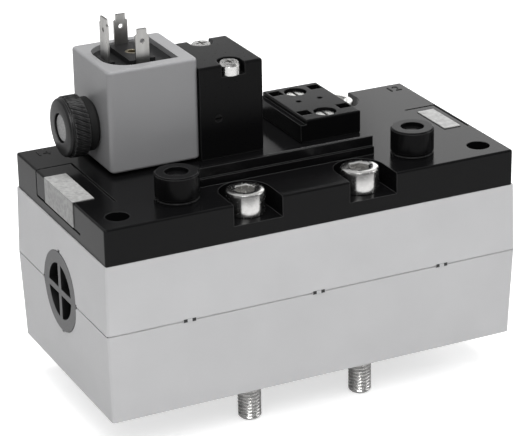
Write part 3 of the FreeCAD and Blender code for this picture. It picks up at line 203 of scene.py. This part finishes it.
# The flag. A dark card that stands behind the valve and shows only as a dark band in the
# gloss of the cover.
FLAG_Y = 0.30
FLAG_LEFT, FLAG_RIGHT = 0.040, 0.200
FLAG_LOW, FLAG_HIGH = 0.207, 0.32
flag_paint, flag_tree = blank_paint("studio_flag")
flag_matte = put(flag_tree, "ShaderNodeBsdfDiffuse", Color_=(0, 0, 0, 1))
flag_out = put(flag_tree, "ShaderNodeOutputMaterial")
wire(flag_tree, ((flag_matte, 0), (flag_out, 0)))
flag_corners = [(FLAG_LEFT, FLAG_Y, FLAG_LOW), (FLAG_RIGHT, FLAG_Y, FLAG_LOW),
                (FLAG_RIGHT, FLAG_Y, FLAG_HIGH), (FLAG_LEFT, FLAG_Y, FLAG_HIGH)]
flag = studio_sheet("studio_flag", flag_corners, flag_paint)
flag.visible_camera = False
flag.visible_diffuse = False
flag.visible_transmission = False
flag.visible_shadow = False

# The two body castings. Pressure die-cast aluminium in a mid-grey paint with a fine orange
# peel. They meet at a thin gasket half way up, and the bore of the spool valve runs along the
# axis of the end grille. Inside the bore the paint is turned black as painted shade.
CASTING_GREY = (0.475, 0.475, 0.48)
BORE_SHADE_BLACK = (0.004, 0.004, 0.004)
BORE_SHADE_REACH = 13.98 * MM
EVERY_DEPTH = -1.0
GRILLE_LOW, GRILLE_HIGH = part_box("end_grille")
BORE_Y = (GRILLE_LOW[1] + GRILLE_HIGH[1]) / 2
BORE_Z = (GRILLE_LOW[2] + GRILLE_HIGH[2]) / 2
BEVEL_SAMPLES = 4
# How alike the true and the rounded normal are where the painted highlight on an edge starts and is full.
HIGHLIGHT_STARTS = 0.99
HIGHLIGHT_FULL = 0.93


def shader_group(name, inputs, outputs):
    """A shader group with float inputs, a vector input and float outputs, still empty."""
    group = bpy.data.node_groups.new(name, "ShaderNodeTree")
    for label, value in inputs:
        socket = group.interface.new_socket(label, in_out="INPUT", socket_type="NodeSocketFloat")
        socket.default_value = value
    group.interface.new_socket("Vector", in_out="INPUT", socket_type="NodeSocketVector")
    for label in outputs:
        group.interface.new_socket(label, in_out="OUTPUT", socket_type="NodeSocketFloat")
    return group, put(group, "NodeGroupInput"), put(group, "NodeGroupOutput")


grain, grain_in, grain_out = shader_group("grain", (("Scale", 900.0), ("Cloud Scale", 40.0)),
                                          ("Height", "Cloud"))
grain_fine = put(grain, "ShaderNodeTexNoise", Detail_=3.0, Roughness_=0.6)
grain_cloud = put(grain, "ShaderNodeTexNoise", Detail_=2.0, Roughness_=0.5)
wire(grain, ((grain_in, "Vector"), (grain_fine, "Vector")), ((grain_in, "Scale"), (grain_fine, "Scale")),
     ((grain_in, "Vector"), (grain_cloud, "Vector")),
     ((grain_in, "Cloud Scale"), (grain_cloud, "Scale")),
     ((grain_fine, "Fac"), (grain_out, "Height")), ((grain_cloud, "Fac"), (grain_out, "Cloud")))

bore, bore_in, bore_out = shader_group(
    "bore_shade_mask", (("Y", 0.0), ("Z", 0.0), ("Radius", 1.0), ("Face", EVERY_DEPTH)), ("Inside",))
bore_point = put(bore, "ShaderNodeSeparateXYZ")
bore_flat = put(bore, "ShaderNodeCombineXYZ")
bore_centre = put(bore, "ShaderNodeCombineXYZ")
bore_reach = put(bore, "ShaderNodeVectorMath", operation="DISTANCE")
bore_near = put(bore, "ShaderNodeMath", operation="LESS_THAN")
bore_deep = put(bore, "ShaderNodeMath", operation="GREATER_THAN")
bore_both = put(bore, "ShaderNodeMath", operation="MULTIPLY")
wire(bore, ((bore_in, "Vector"), (bore_point, 0)),
     ((bore_point, "Y"), (bore_flat, "Y")), ((bore_point, "Z"), (bore_flat, "Z")),
     ((bore_in, "Y"), (bore_centre, "Y")), ((bore_in, "Z"), (bore_centre, "Z")),
     ((bore_flat, 0), (bore_reach, 0)), ((bore_centre, 0), (bore_reach, 1)),
     ((bore_reach, "Value"), (bore_near, 0)), ((bore_in, "Radius"), (bore_near, 1)),
     ((bore_point, "X"), (bore_deep, 0)), ((bore_in, "Face"), (bore_deep, 1)),
     ((bore_near, 0), (bore_both, 0)), ((bore_deep, 0), (bore_both, 1)),
     ((bore_both, 0), (bore_out, "Inside")))


def paint_bore_shade(paint, radius, face):
    """Paints shade into a finish: black inside the spool bore, past the given depth."""
    tree = paint.node_tree
    surface = next(node for node in tree.nodes if node.bl_idname == "ShaderNodeBsdfPrincipled")
    tint = surface.inputs["Base Color"].links[0].from_node
    place = next(node for node in tree.nodes if node.bl_idname == "ShaderNodeTexCoord")
    mask = put(tree, "ShaderNodeGroup", node_tree=bore, Y_=BORE_Y, Z_=BORE_Z, Radius_=radius, Face_=face)
    shade = colour_mix(tree, second=BORE_SHADE_BLACK)
    wire(tree, ((place, "Object"), (mask, "Vector")), ((mask, "Inside"), (shade, 0)),
         ((tint, MIX_RESULT), (shade, MIX_FIRST)), ((shade, MIX_RESULT), (surface, "Base Color")))


def paint_edge_highlight(tree, surface, corner, tone):
    """Paints a highlight: the colour turns paler where the edges of a moulding turn."""
    flat = put(tree, "ShaderNodeNewGeometry")
    turned = put(tree, "ShaderNodeVectorMath", operation="DOT_PRODUCT")
    rim = put(tree, "ShaderNodeMapRange", From_Min_=HIGHLIGHT_STARTS, From_Max_=HIGHLIGHT_FULL)
    tint = surface.inputs["Base Color"].links[0].from_node
    highlighted = colour_mix(tree, second=(tone, tone, tone))
    wire(tree, ((flat, "True Normal"), (turned, 0)), ((corner, 0), (turned, 1)),
         ((turned, "Value"), (rim, "Value")), ((rim, 0), (highlighted, 0)),
         ((tint, MIX_RESULT), (highlighted, MIX_FIRST)), ((highlighted, MIX_RESULT), (surface, "Base Color")))


def finish(name, colour, spread=0.1, rough=0.5, rough_spread=0.08, scale=900.0, cloud=40.0, bump=0.1,
           depth=0.1 * MM, metal=0.0, specular=0.5, stretch=(1, 1, 1), edge=0.2 * MM, edge_highlight=None):
    """A procedural finish: a colour that drifts a little, grain in gloss and bump, soft edges, and, where
    an edge tone is given, a painted highlight on the edges.
    """
    paint, tree = blank_paint(name)
    place = put(tree, "ShaderNodeTexCoord")
    turn = put(tree, "ShaderNodeMapping", Scale_=stretch)
    texture = put(tree, "ShaderNodeGroup", node_tree=grain, Scale_=scale, Cloud_Scale_=cloud)
    tint = colour_mix(tree, first=[value * (1 - spread) for value in colour],
                      second=[value * (1 + spread) for value in colour])
    gloss = put(tree, "ShaderNodeMapRange", To_Min_=rough - rough_spread, To_Max_=rough + rough_spread)
    relief = put(tree, "ShaderNodeBump", Strength_=bump, Distance_=depth)
    corner = put(tree, "ShaderNodeBevel", samples=BEVEL_SAMPLES, Radius_=edge)
    surface = put(tree, "ShaderNodeBsdfPrincipled", Metallic_=metal, Specular_IOR_Level_=specular)
    out = put(tree, "ShaderNodeOutputMaterial")
    wire(tree, ((place, "Object"), (turn, "Vector")), ((turn, "Vector"), (texture, "Vector")),
         ((texture, "Cloud"), (tint, 0)), ((tint, MIX_RESULT), (surface, "Base Color")),
         ((texture, "Height"), (gloss, "Value")), ((gloss, 0), (surface, "Roughness")),
         ((texture, "Height"), (relief, "Height")), ((corner, 0), (relief, "Normal")),
         ((relief, 0), (surface, "Normal")), ((surface, 0), (out, 0)))
    # A painted highlight on the edges, where a tone for it is given.
    if edge_highlight:
        paint_edge_highlight(tree, surface, corner, edge_highlight)
    return paint


def dress(paint, *nodes):
    """Gives CAD nodes their finish."""
    for node in nodes:
        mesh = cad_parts[node].data
        mesh.materials.clear()
        mesh.materials.append(paint)


casting_paint = finish("casting_paint", CASTING_GREY, spread=0.06, rough=0.42, scale=1400.0, cloud=60.0,
                       bump=0.12, depth=0.15 * MM)
# Painted shade: the casting paint turns black inside the spool bore.
paint_bore_shade(casting_paint, BORE_SHADE_REACH, EVERY_DEPTH)
dress(casting_paint, "lower_body", "upper_body")

# The seals. Black nitrile rings round the sleeve, the piston and the ports, a nitrile loop
# under the cover, and cut sheet under the pilot valve and the blanking plate.
seal_black = finish("seal_black", (0.012, 0.012, 0.012), rough=0.7, scale=1200.0)
dress(seal_black, "cover_gasket", "port_seals", "sleeve_seals", "piston_seal", "pilot_gasket",
      "blanking_gasket")

# The body gasket. A thin sheet whose edge is painted over with the castings: the seam shows
# only as a faint line on the long sides, with two dark dots at each tab, and as a dark line
# at the ends.
GASKET_BLACK = (0.03, 0.03, 0.03)
TAB_PITCH = 46.4 * MM
DOT_FROM_TAB = 1.5 * MM
DOT_HALF = 0.65 * MM
ENDS_FROM = 74.5 * MM
seam, seam_in, seam_out = shader_group("seam_mask", (("Pitch", 1.0),), ("Dark",))
seam_parts = put(seam, "ShaderNodeSeparateXYZ")
seam_steps = put(seam, "ShaderNodeMath", operation="DIVIDE")
seam_near = put(seam, "ShaderNodeMath", operation="ROUND")
seam_centre = put(seam, "ShaderNodeMath", operation="MULTIPLY")
seam_reach = put(seam, "ShaderNodeMath", operation="SUBTRACT")
seam_gap = put(seam, "ShaderNodeMath", operation="ABSOLUTE")
seam_dots = put(seam, "ShaderNodeMath", operation="COMPARE")
seam_side = put(seam, "ShaderNodeMath", operation="ABSOLUTE")
seam_ends = put(seam, "ShaderNodeMath", operation="GREATER_THAN")
seam_both = put(seam, "ShaderNodeMath", operation="MAXIMUM")
seam_dots.inputs[1].default_value = DOT_FROM_TAB
seam_dots.inputs[2].default_value = DOT_HALF
seam_ends.inputs[1].default_value = ENDS_FROM
wire(seam, ((seam_in, "Vector"), (seam_parts, 0)),
     ((seam_parts, "X"), (seam_steps, 0)), ((seam_in, "Pitch"), (seam_steps, 1)),
     ((seam_steps, 0), (seam_near, 0)),
     ((seam_near, 0), (seam_centre, 0)), ((seam_in, "Pitch"), (seam_centre, 1)),
     ((seam_parts, "X"), (seam_reach, 0)), ((seam_centre, 0), (seam_reach, 1)),
     ((seam_reach, 0), (seam_gap, 0)), ((seam_gap, 0), (seam_dots, 0)),
     ((seam_parts, "X"), (seam_side, 0)), ((seam_side, 0), (seam_ends, 0)),
     ((seam_dots, 0), (seam_both, 0)), ((seam_ends, 0), (seam_both, 1)),
     ((seam_both, 0), (seam_out, "Dark")))
gasket_paint, gasket_tree = blank_paint("gasket_paint")
gasket_place = put(gasket_tree, "ShaderNodeTexCoord")
gasket_mask = put(gasket_tree, "ShaderNodeGroup", node_tree=seam, Pitch_=TAB_PITCH)
gasket_tint = colour_mix(gasket_tree, first=CASTING_GREY, second=GASKET_BLACK)
gasket_surface = put(gasket_tree, "ShaderNodeBsdfPrincipled", Roughness_=0.6, Specular_IOR_Level_=0.3)
gasket_out = put(gasket_tree, "ShaderNodeOutputMaterial")
wire(gasket_tree, ((gasket_place, "Object"), (gasket_mask, "Vector")),
     ((gasket_mask, "Dark"), (gasket_tint, 0)),
     ((gasket_tint, MIX_RESULT), (gasket_surface, "Base Color")),
     ((gasket_surface, 0), (gasket_out, 0)))
dress(gasket_paint, "body_gasket")

# The top cover. One glass-filled moulding in black with a soft shine. The guides and buttons
# of the manual overrides, the pilot valve, the blanking plate and the piston parts inside are
# mouldings of the same kind, each with its own gloss.
MOULDING_BLACK = (0.0032, 0.0032, 0.0034)
# The edge tones of the cover, the mouldings and the pilot are painted highlights on their edges.
cover_black = finish("cover_black", MOULDING_BLACK, rough=0.2, rough_spread=0.03, scale=1600.0, cloud=50.0,
                     bump=0.02, depth=0.05 * MM, specular=0.14, edge=0.4 * MM, edge_highlight=0.04)
moulded_black = finish("moulded_black", MOULDING_BLACK, rough=0.22, rough_spread=0.03, scale=1500.0,
                       bump=0.015, depth=0.05 * MM, specular=0.08, edge=0.4 * MM, edge_highlight=0.035)
pilot_black = finish("pilot_black", (0.0036, 0.0036, 0.0038), rough=0.3, scale=1500.0, bump=0.02,
                     depth=0.05 * MM, specular=0.11, edge=0.4 * MM, edge_highlight=0.03)
button_black = finish("button_black", (0.004, 0.004, 0.0042), rough=0.2, rough_spread=0.03, scale=1800.0,
                      bump=0.01, depth=0.05 * MM, specular=0.14)
dress(cover_black, "top_cover")
dress(moulded_black, "override_guide_left", "override_guide_right", "blanking_plate", "drive_cup",
      "return_cup", "drive_piston")
dress(pilot_black, "pilot_body")
dress(button_black, "override_button_left", "override_button_right")

# The end grille. A dark grey moulding pressed into the left end of the cavity. Behind its
# front face, the walls of its slots are painted black as painted shade.
SLOTS_REACH = 9.8 * MM
GRILLE_FACE = 0.1 * MM
grille_grey = finish("grille_grey", (0.085, 0.085, 0.087), rough=0.45, scale=1500.0)
# Painted shade: black on the walls of the slots, behind the grille's face.
paint_bore_shade(grille_grey, SLOTS_REACH, GRILLE_LOW[0] + GRILLE_FACE)
dress(grille_grey, "end_grille")

# The coil. Copper wire moulded into a mid-grey block, with a black insert that carries three
# tinned blades and a brass bush, a rubber collar, and a knurled hand nut on the end of the
# core tube.
coil_grey = finish("coil_grey", (0.226, 0.226, 0.230), spread=0.05, rough=0.38, scale=1400.0)
insert_black = finish("insert_black", (0.010, 0.010, 0.0105), rough=0.42, scale=1500.0, specular=0.2)
collar_rubber = finish("collar_rubber", (0.010, 0.010, 0.010), rough=0.6, scale=1500.0, specular=0.25)
# The nut's edge tone is a painted highlight on its edges.
nut_black = finish("nut_black", (0.005, 0.005, 0.0053), rough=0.34, scale=1500.0, specular=0.24,
                   edge=0.3 * MM, edge_highlight=0.07)
copper = finish("copper_wire", (0.45, 0.16, 0.06), rough=0.35, metal=1.0, scale=800.0, stretch=(6, 1, 1))
blade_tin = finish("blade_tin", (0.52, 0.515, 0.50), spread=0.25, cloud=300.0, rough=0.3, metal=1.0,
                   bump=0.06, stretch=(1, 1, 0.15))
brass = finish("turned_brass", (0.66, 0.58, 0.42), rough=0.3, metal=1.0, scale=1200.0, bump=0.05)
dress(coil_grey, "coil_housing")
dress(insert_black, "connector_insert")
dress(collar_rubber, "coil_collar")
dress(nut_black, "coil_nut")
dress(copper, "coil_winding")
dress(blade_tin, "contact_pin_front", "contact_pin_rear", "earth_pin")
dress(brass, "plug_bush")

# Screws and turned steel. The screws have bright zinc plating, the pilot's pin is darkened,
# the end of the core tube is dull, and the turned parts and springs inside are bare metal.
zinc = finish("bright_zinc", (0.78, 0.775, 0.76), spread=0.15, rough=0.24, rough_spread=0.10, metal=1.0,
              scale=1100.0, cloud=700.0, bump=0.03)
dark_pin = finish("dark_pin", (0.03, 0.03, 0.03), rough=0.4, metal=1.0, bump=0.05)
tube_end = finish("tube_end", (0.30, 0.30, 0.30), spread=0.7, metal=0.3, cloud=1600.0, bump=0.3)
turned_steel = finish("turned_steel", (0.62, 0.62, 0.61), rough=0.3, metal=1.0, bump=0.05,
                      stretch=(0.2, 1, 1))
dress(zinc, "mounting_screws", "pilot_screws", "blanking_screws")
dress(dark_pin, "pilot_override")
dress(tube_end, "armature_tube")
dress(turned_steel, "plunger", "yoke_plates", "valve_sleeve", "spool", "plunger_spring",
      "override_spring_left", "override_spring_right")

# The mounting screws. M8 cap screws, cold headed and plated: a bevelled head with a hexagon
# socket, a plain shank and a rolled thread that shows below the body.
CAP_HEAD_RADIUS = 6.5 * MM
CAP_HEAD_HEIGHT = 8.0 * MM
CAP_BEVEL = 0.9 * MM
CAP_FOOT_BEVEL = 0.2 * MM
CAP_SHANK_RADIUS = 4.0 * MM
CAP_TIP_LIP = 0.05 * MM
CAP_SOCKET_HALF = 3.0 * MM
CAP_SOCKET_DEPTH = 4.0 * MM
CAP_MOUTH_DEPTH = 0.3 * MM
CAP_POINT_DEPTH = 0.8 * MM
CAP_POINT_RADIUS = 0.5 * MM
CAP_PITCH = 1.25 * MM
CAP_THREAD_DEPTH = 0.62 * MM
CAP_THREAD_LENGTH = 22.5 * MM
CAP_SIDES = 96
THREAD_ROWS = 8
FRONT_SCREW_X = 20.9 * MM
SHARP_ANGLE = math.radians(32)
# Shares of the bevel: where the head's edge bends, and where the thread starts on the tip.
CAP_BEND_DROP = 0.35
CAP_BEND_INSET = 0.3
CAP_THREAD_START = 0.6
# The tip's flat and the socket's mouth, against the tip and the socket, and the thread's flank.
CAP_TIP_SHARE = 0.96
CAP_MOUTH_SHARE = 1.3
CAP_FLANK = 1.15


def ring_mesh(name, rows, sides, hollow=False):
    """A closed mesh from rows of (height, radius function); hollow joins the last row to the first."""
    mesh = bmesh.new()
    bands = []
    for height, radius in rows:
        band = []
        for step in range(sides):
            turn = 2 * math.pi * step / sides
            reach = radius(turn)
            band.append(mesh.verts.new((reach * math.cos(turn), reach * math.sin(turn), height)))
        bands.append(band)
    if hollow:
        bands.append(bands[0])
    for low, high in zip(bands, bands[1:]):
        for step in range(sides):
            after = (step + 1) % sides
            mesh.faces.new((low[step], low[after], high[after], high[step]))
    if not hollow:
        mesh.faces.new(list(reversed(bands[0])))
        mesh.faces.new(bands[-1])
    shape = bpy.data.meshes.new(name)
    mesh.to_mesh(shape)
    mesh.free()
    return shape


def even(radius):
    """The same reach at every turn."""
    return lambda turn: radius


def hexagon(half):
    """The reach of a hexagon across its flats at each turn, corners on the sixths."""
    return lambda turn: half / math.cos(turn % (math.pi / 3) - math.pi / 6)


def helix_reach(radius, height, pitch, depth, fade):
    """The reach of a rolled thread: a ridge that climbs one pitch a turn, faded at its ends."""
    def reach(turn):
        phase = (height / pitch - turn / (2 * math.pi)) % 1.0
        ridge = abs(2 * phase - 1)
        return radius - depth * fade * (1 - min(1.0, ridge * CAP_FLANK))
    return reach


def soften(mesh):
    """Smooth shading that keeps the edges past the sharp angle crisp."""
    mesh.shade_smooth()
    mesh.set_sharp_from_angle(angle=SHARP_ANGLE)


screw_low, screw_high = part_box("mounting_screws")
head_top = screw_high[2]
head_foot = head_top - CAP_HEAD_HEIGHT
tip_radius = CAP_SHANK_RADIUS - CAP_BEVEL
screw_rows = [(0.0, even(tip_radius * CAP_TIP_SHARE)), (CAP_TIP_LIP, even(tip_radius))]
thread_steps = int(CAP_THREAD_LENGTH / CAP_PITCH) * THREAD_ROWS
for step in range(thread_steps + 1):
    height = CAP_BEVEL * CAP_THREAD_START + step * CAP_PITCH / THREAD_ROWS
    ease = min(1.0, step / THREAD_ROWS, (thread_steps - step) / THREAD_ROWS)
    crest = min(CAP_SHANK_RADIUS, tip_radius + height)
    screw_rows.append((height, helix_reach(crest, height, CAP_PITCH, CAP_THREAD_DEPTH, ease)))
screw_rows += [
    (head_foot, even(CAP_SHANK_RADIUS)),
    (head_foot, even(CAP_HEAD_RADIUS - CAP_FOOT_BEVEL)),
    (head_foot + CAP_FOOT_BEVEL, even(CAP_HEAD_RADIUS)),
    (head_top - CAP_BEVEL, even(CAP_HEAD_RADIUS)),
    (head_top - CAP_BEVEL * CAP_BEND_DROP, even(CAP_HEAD_RADIUS - CAP_BEVEL * CAP_BEND_INSET)),
    (head_top, even(CAP_HEAD_RADIUS - CAP_BEVEL)),
    (head_top, even(CAP_SOCKET_HALF * CAP_MOUTH_SHARE)),
    (head_top - CAP_MOUTH_DEPTH, hexagon(CAP_SOCKET_HALF)),
    (head_top - CAP_SOCKET_DEPTH, hexagon(CAP_SOCKET_HALF)),
    (head_top - CAP_SOCKET_DEPTH - CAP_POINT_DEPTH, even(CAP_POINT_RADIUS)),
]
screw_pattern = bpy.data.objects.new("screw_pattern", ring_mesh("screw_pattern", screw_rows, CAP_SIDES))


def node_tree(name, inputs):
    """A Geometry Nodes tree with a geometry way through and the named inputs."""
    tree = bpy.data.node_groups.new(name, "GeometryNodeTree")
    tree.interface.new_socket("Geometry", in_out="INPUT", socket_type="NodeSocketGeometry")
    for label, kind in inputs:
        tree.interface.new_socket(label, in_out="INPUT", socket_type=kind)
    tree.interface.new_socket("Geometry", in_out="OUTPUT", socket_type="NodeSocketGeometry")
    return tree, put(tree, "NodeGroupInput"), put(tree, "NodeGroupOutput")


def grow(name, base, tree, values):
    """Runs a tree on a base mesh with named input values and keeps the result as a plain mesh."""
    carrier = add_object(name, base)
    modifier = carrier.modifiers.new(name, "NODES")
    modifier.node_group = tree
    for item in tree.interface.items_tree:
        if item.in_out == "INPUT" and item.name in values:
            modifier[item.identifier] = values[item.name]
    bpy.context.view_layer.update()
    graph = bpy.context.evaluated_depsgraph_get()
    result = bpy.data.meshes.new_from_object(carrier.evaluated_get(graph))
    result.name = name
    carrier.modifiers.clear()
    carrier.data = result
    return carrier


copies, copies_in, copies_out = node_tree(
    "copies_at_points", (("Pattern", "NodeSocketObject"), ("Finish", "NodeSocketMaterial")))
copies_source = put(copies, "GeometryNodeObjectInfo", transform_space="ORIGINAL")
copies_place = put(copies, "GeometryNodeInstanceOnPoints")
copies_real = put(copies, "GeometryNodeRealizeInstances")
copies_finish = put(copies, "GeometryNodeSetMaterial")
wire(copies, ((copies_in, "Pattern"), (copies_source, "Object")),
     ((copies_in, "Geometry"), (copies_place, "Points")),
     ((copies_source, "Geometry"), (copies_place, "Instance")),
     ((copies_place, 0), (copies_real, 0)), ((copies_real, 0), (copies_finish, "Geometry")),
     ((copies_in, "Finish"), (copies_finish, "Material")), ((copies_finish, 0), (copies_out, 0)))

FRONT_SCREW = (FRONT_SCREW_X, screw_low[1] + CAP_HEAD_RADIUS)
REAR_SCREW = (screw_high[0] - CAP_HEAD_RADIUS, screw_high[1] - CAP_HEAD_RADIUS)
screw_places = bpy.data.meshes.new("screw_places")
screw_places.from_pydata([(side * x, y, 0.0) for x, y in (FRONT_SCREW, REAR_SCREW) for side in (-1, 1)],
                         [], [])
cap_screws = grow("cap_screws", screw_places, copies, {"Pattern": screw_pattern, "Finish": zinc})
bpy.data.objects.remove(screw_pattern)
soften(cap_screws.data)
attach(cap_screws, "valve")
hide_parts("mounting_screws")

# The knurled nut. A moulded hand nut: a smooth rim round a flat face, a groove, then slanted
# ribs that run round the grip. Heights count from its outer face towards the coil.
NUT_BORE = 5.05 * MM
NUT_RIBS = 36
NUT_RIB_DEPTH = 0.62 * MM
NUT_RIB_FLANK = 2.6
NUT_RIB_SIDES = 8
NUT_TWIST = 0.055 / MM
NUT_ROWS = 14
GRIP_START = 1.9 * MM
GRIP_STOP = 0.5 * MM
NUT_BACK_INSET = 0.8 * MM
# The rim and the groove: each height, and how far inside the nut's full radius it lies.
NUT_RIM = ((0.0, 1.3 * MM), (0.2 * MM, 0.9 * MM), (0.6 * MM, 0.6 * MM), (1.3 * MM, 0.5 * MM),
           (1.5 * MM, 0.9 * MM), (GRIP_START, 0.7 * MM))
nut_low, nut_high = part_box("coil_nut")
nut_radius = (nut_high[2] - nut_low[2]) / 2
nut_length = nut_high[0] - nut_low[0]


def rib_reach(height):
    """The reach of a slanted rib pattern at one height of the grip."""
    def reach(turn):
        phase = ((turn - NUT_TWIST * height) * NUT_RIBS / (2 * math.pi)) % 1.0
        return nut_radius - NUT_RIB_DEPTH * (1 - min(1.0, NUT_RIB_FLANK * min(phase, 1 - phase)))
    return reach


nut_rows = [(0.0, even(NUT_BORE))]
nut_rows += [(height, even(nut_radius - inset)) for height, inset in NUT_RIM]
for step in range(NUT_ROWS + 1):
    height = GRIP_START + (nut_length - GRIP_STOP - GRIP_START) * step / NUT_ROWS
    nut_rows.append((height, rib_reach(height)))
nut_rows += [(nut_length, even(nut_radius - NUT_BACK_INSET)), (nut_length, even(NUT_BORE))]
nut_shape = ring_mesh("hand_nut", nut_rows, NUT_RIBS * NUT_RIB_SIDES, hollow=True)
nut_shape.transform(Matrix((
    (0, 0, 1, nut_low[0]),
    (1, 0, 0, (nut_low[1] + nut_high[1]) / 2),
    (0, 1, 0, (nut_low[2] + nut_high[2]) / 2),
    (0, 0, 0, 1),
)))
nut_shape.materials.append(nut_black)
soften(nut_shape)
hand_nut = add_object("hand_nut", nut_shape)
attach(hand_nut, "coil_nut")
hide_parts("coil_nut")

# The port numbers. Small raised figures moulded on the cover beside its two rear corners.
# Their faces are matt, and read a little paler than the shine of the cover.
FIGURES = (("14", -66.4 * MM), ("12", 68.4 * MM))
FIGURE_SIZE = 5.6 * MM
FIGURE_HEIGHT = 0.15 * MM
FIGURE_SINK = 0.05 * MM
FIGURE_Y = 31.9 * MM
COVER_TOP = 81.5 * MM
figure_half = (FIGURE_HEIGHT + FIGURE_SINK) / 2
figures = bmesh.new()
for body, middle in FIGURES:
    figure = bpy.data.curves.new("figure", "FONT")
    figure.body = body
    figure.size = FIGURE_SIZE
    figure.align_x = "CENTER"
    figure.extrude = figure_half
    marker = add_object("figure", figure)
    bpy.context.view_layer.update()
    shape = bpy.data.meshes.new_from_object(marker.evaluated_get(bpy.context.evaluated_depsgraph_get()))
    shape.transform(Matrix.Translation((middle, FIGURE_Y, COVER_TOP + FIGURE_HEIGHT - figure_half)))
    figures.from_mesh(shape)
    bpy.data.objects.remove(marker)
    bpy.data.meshes.remove(shape)
numbers_mesh = bpy.data.meshes.new("port_numbers")
figures.to_mesh(numbers_mesh)
figures.free()
numbers_mesh.materials.append(seal_black)
port_numbers = add_object("port_numbers", numbers_mesh)
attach(port_numbers, "valve")

# The label strips. Blank grey film that is stuck to the cover's top. The left one folds
# over the edge of the cover.
label_film = finish("label_film", (0.275, 0.275, 0.271), spread=0.55, rough=0.45, scale=700.0, cloud=800.0,
                    bump=0.04)
dress(label_film, "label_strip_left", "label_strip_right")
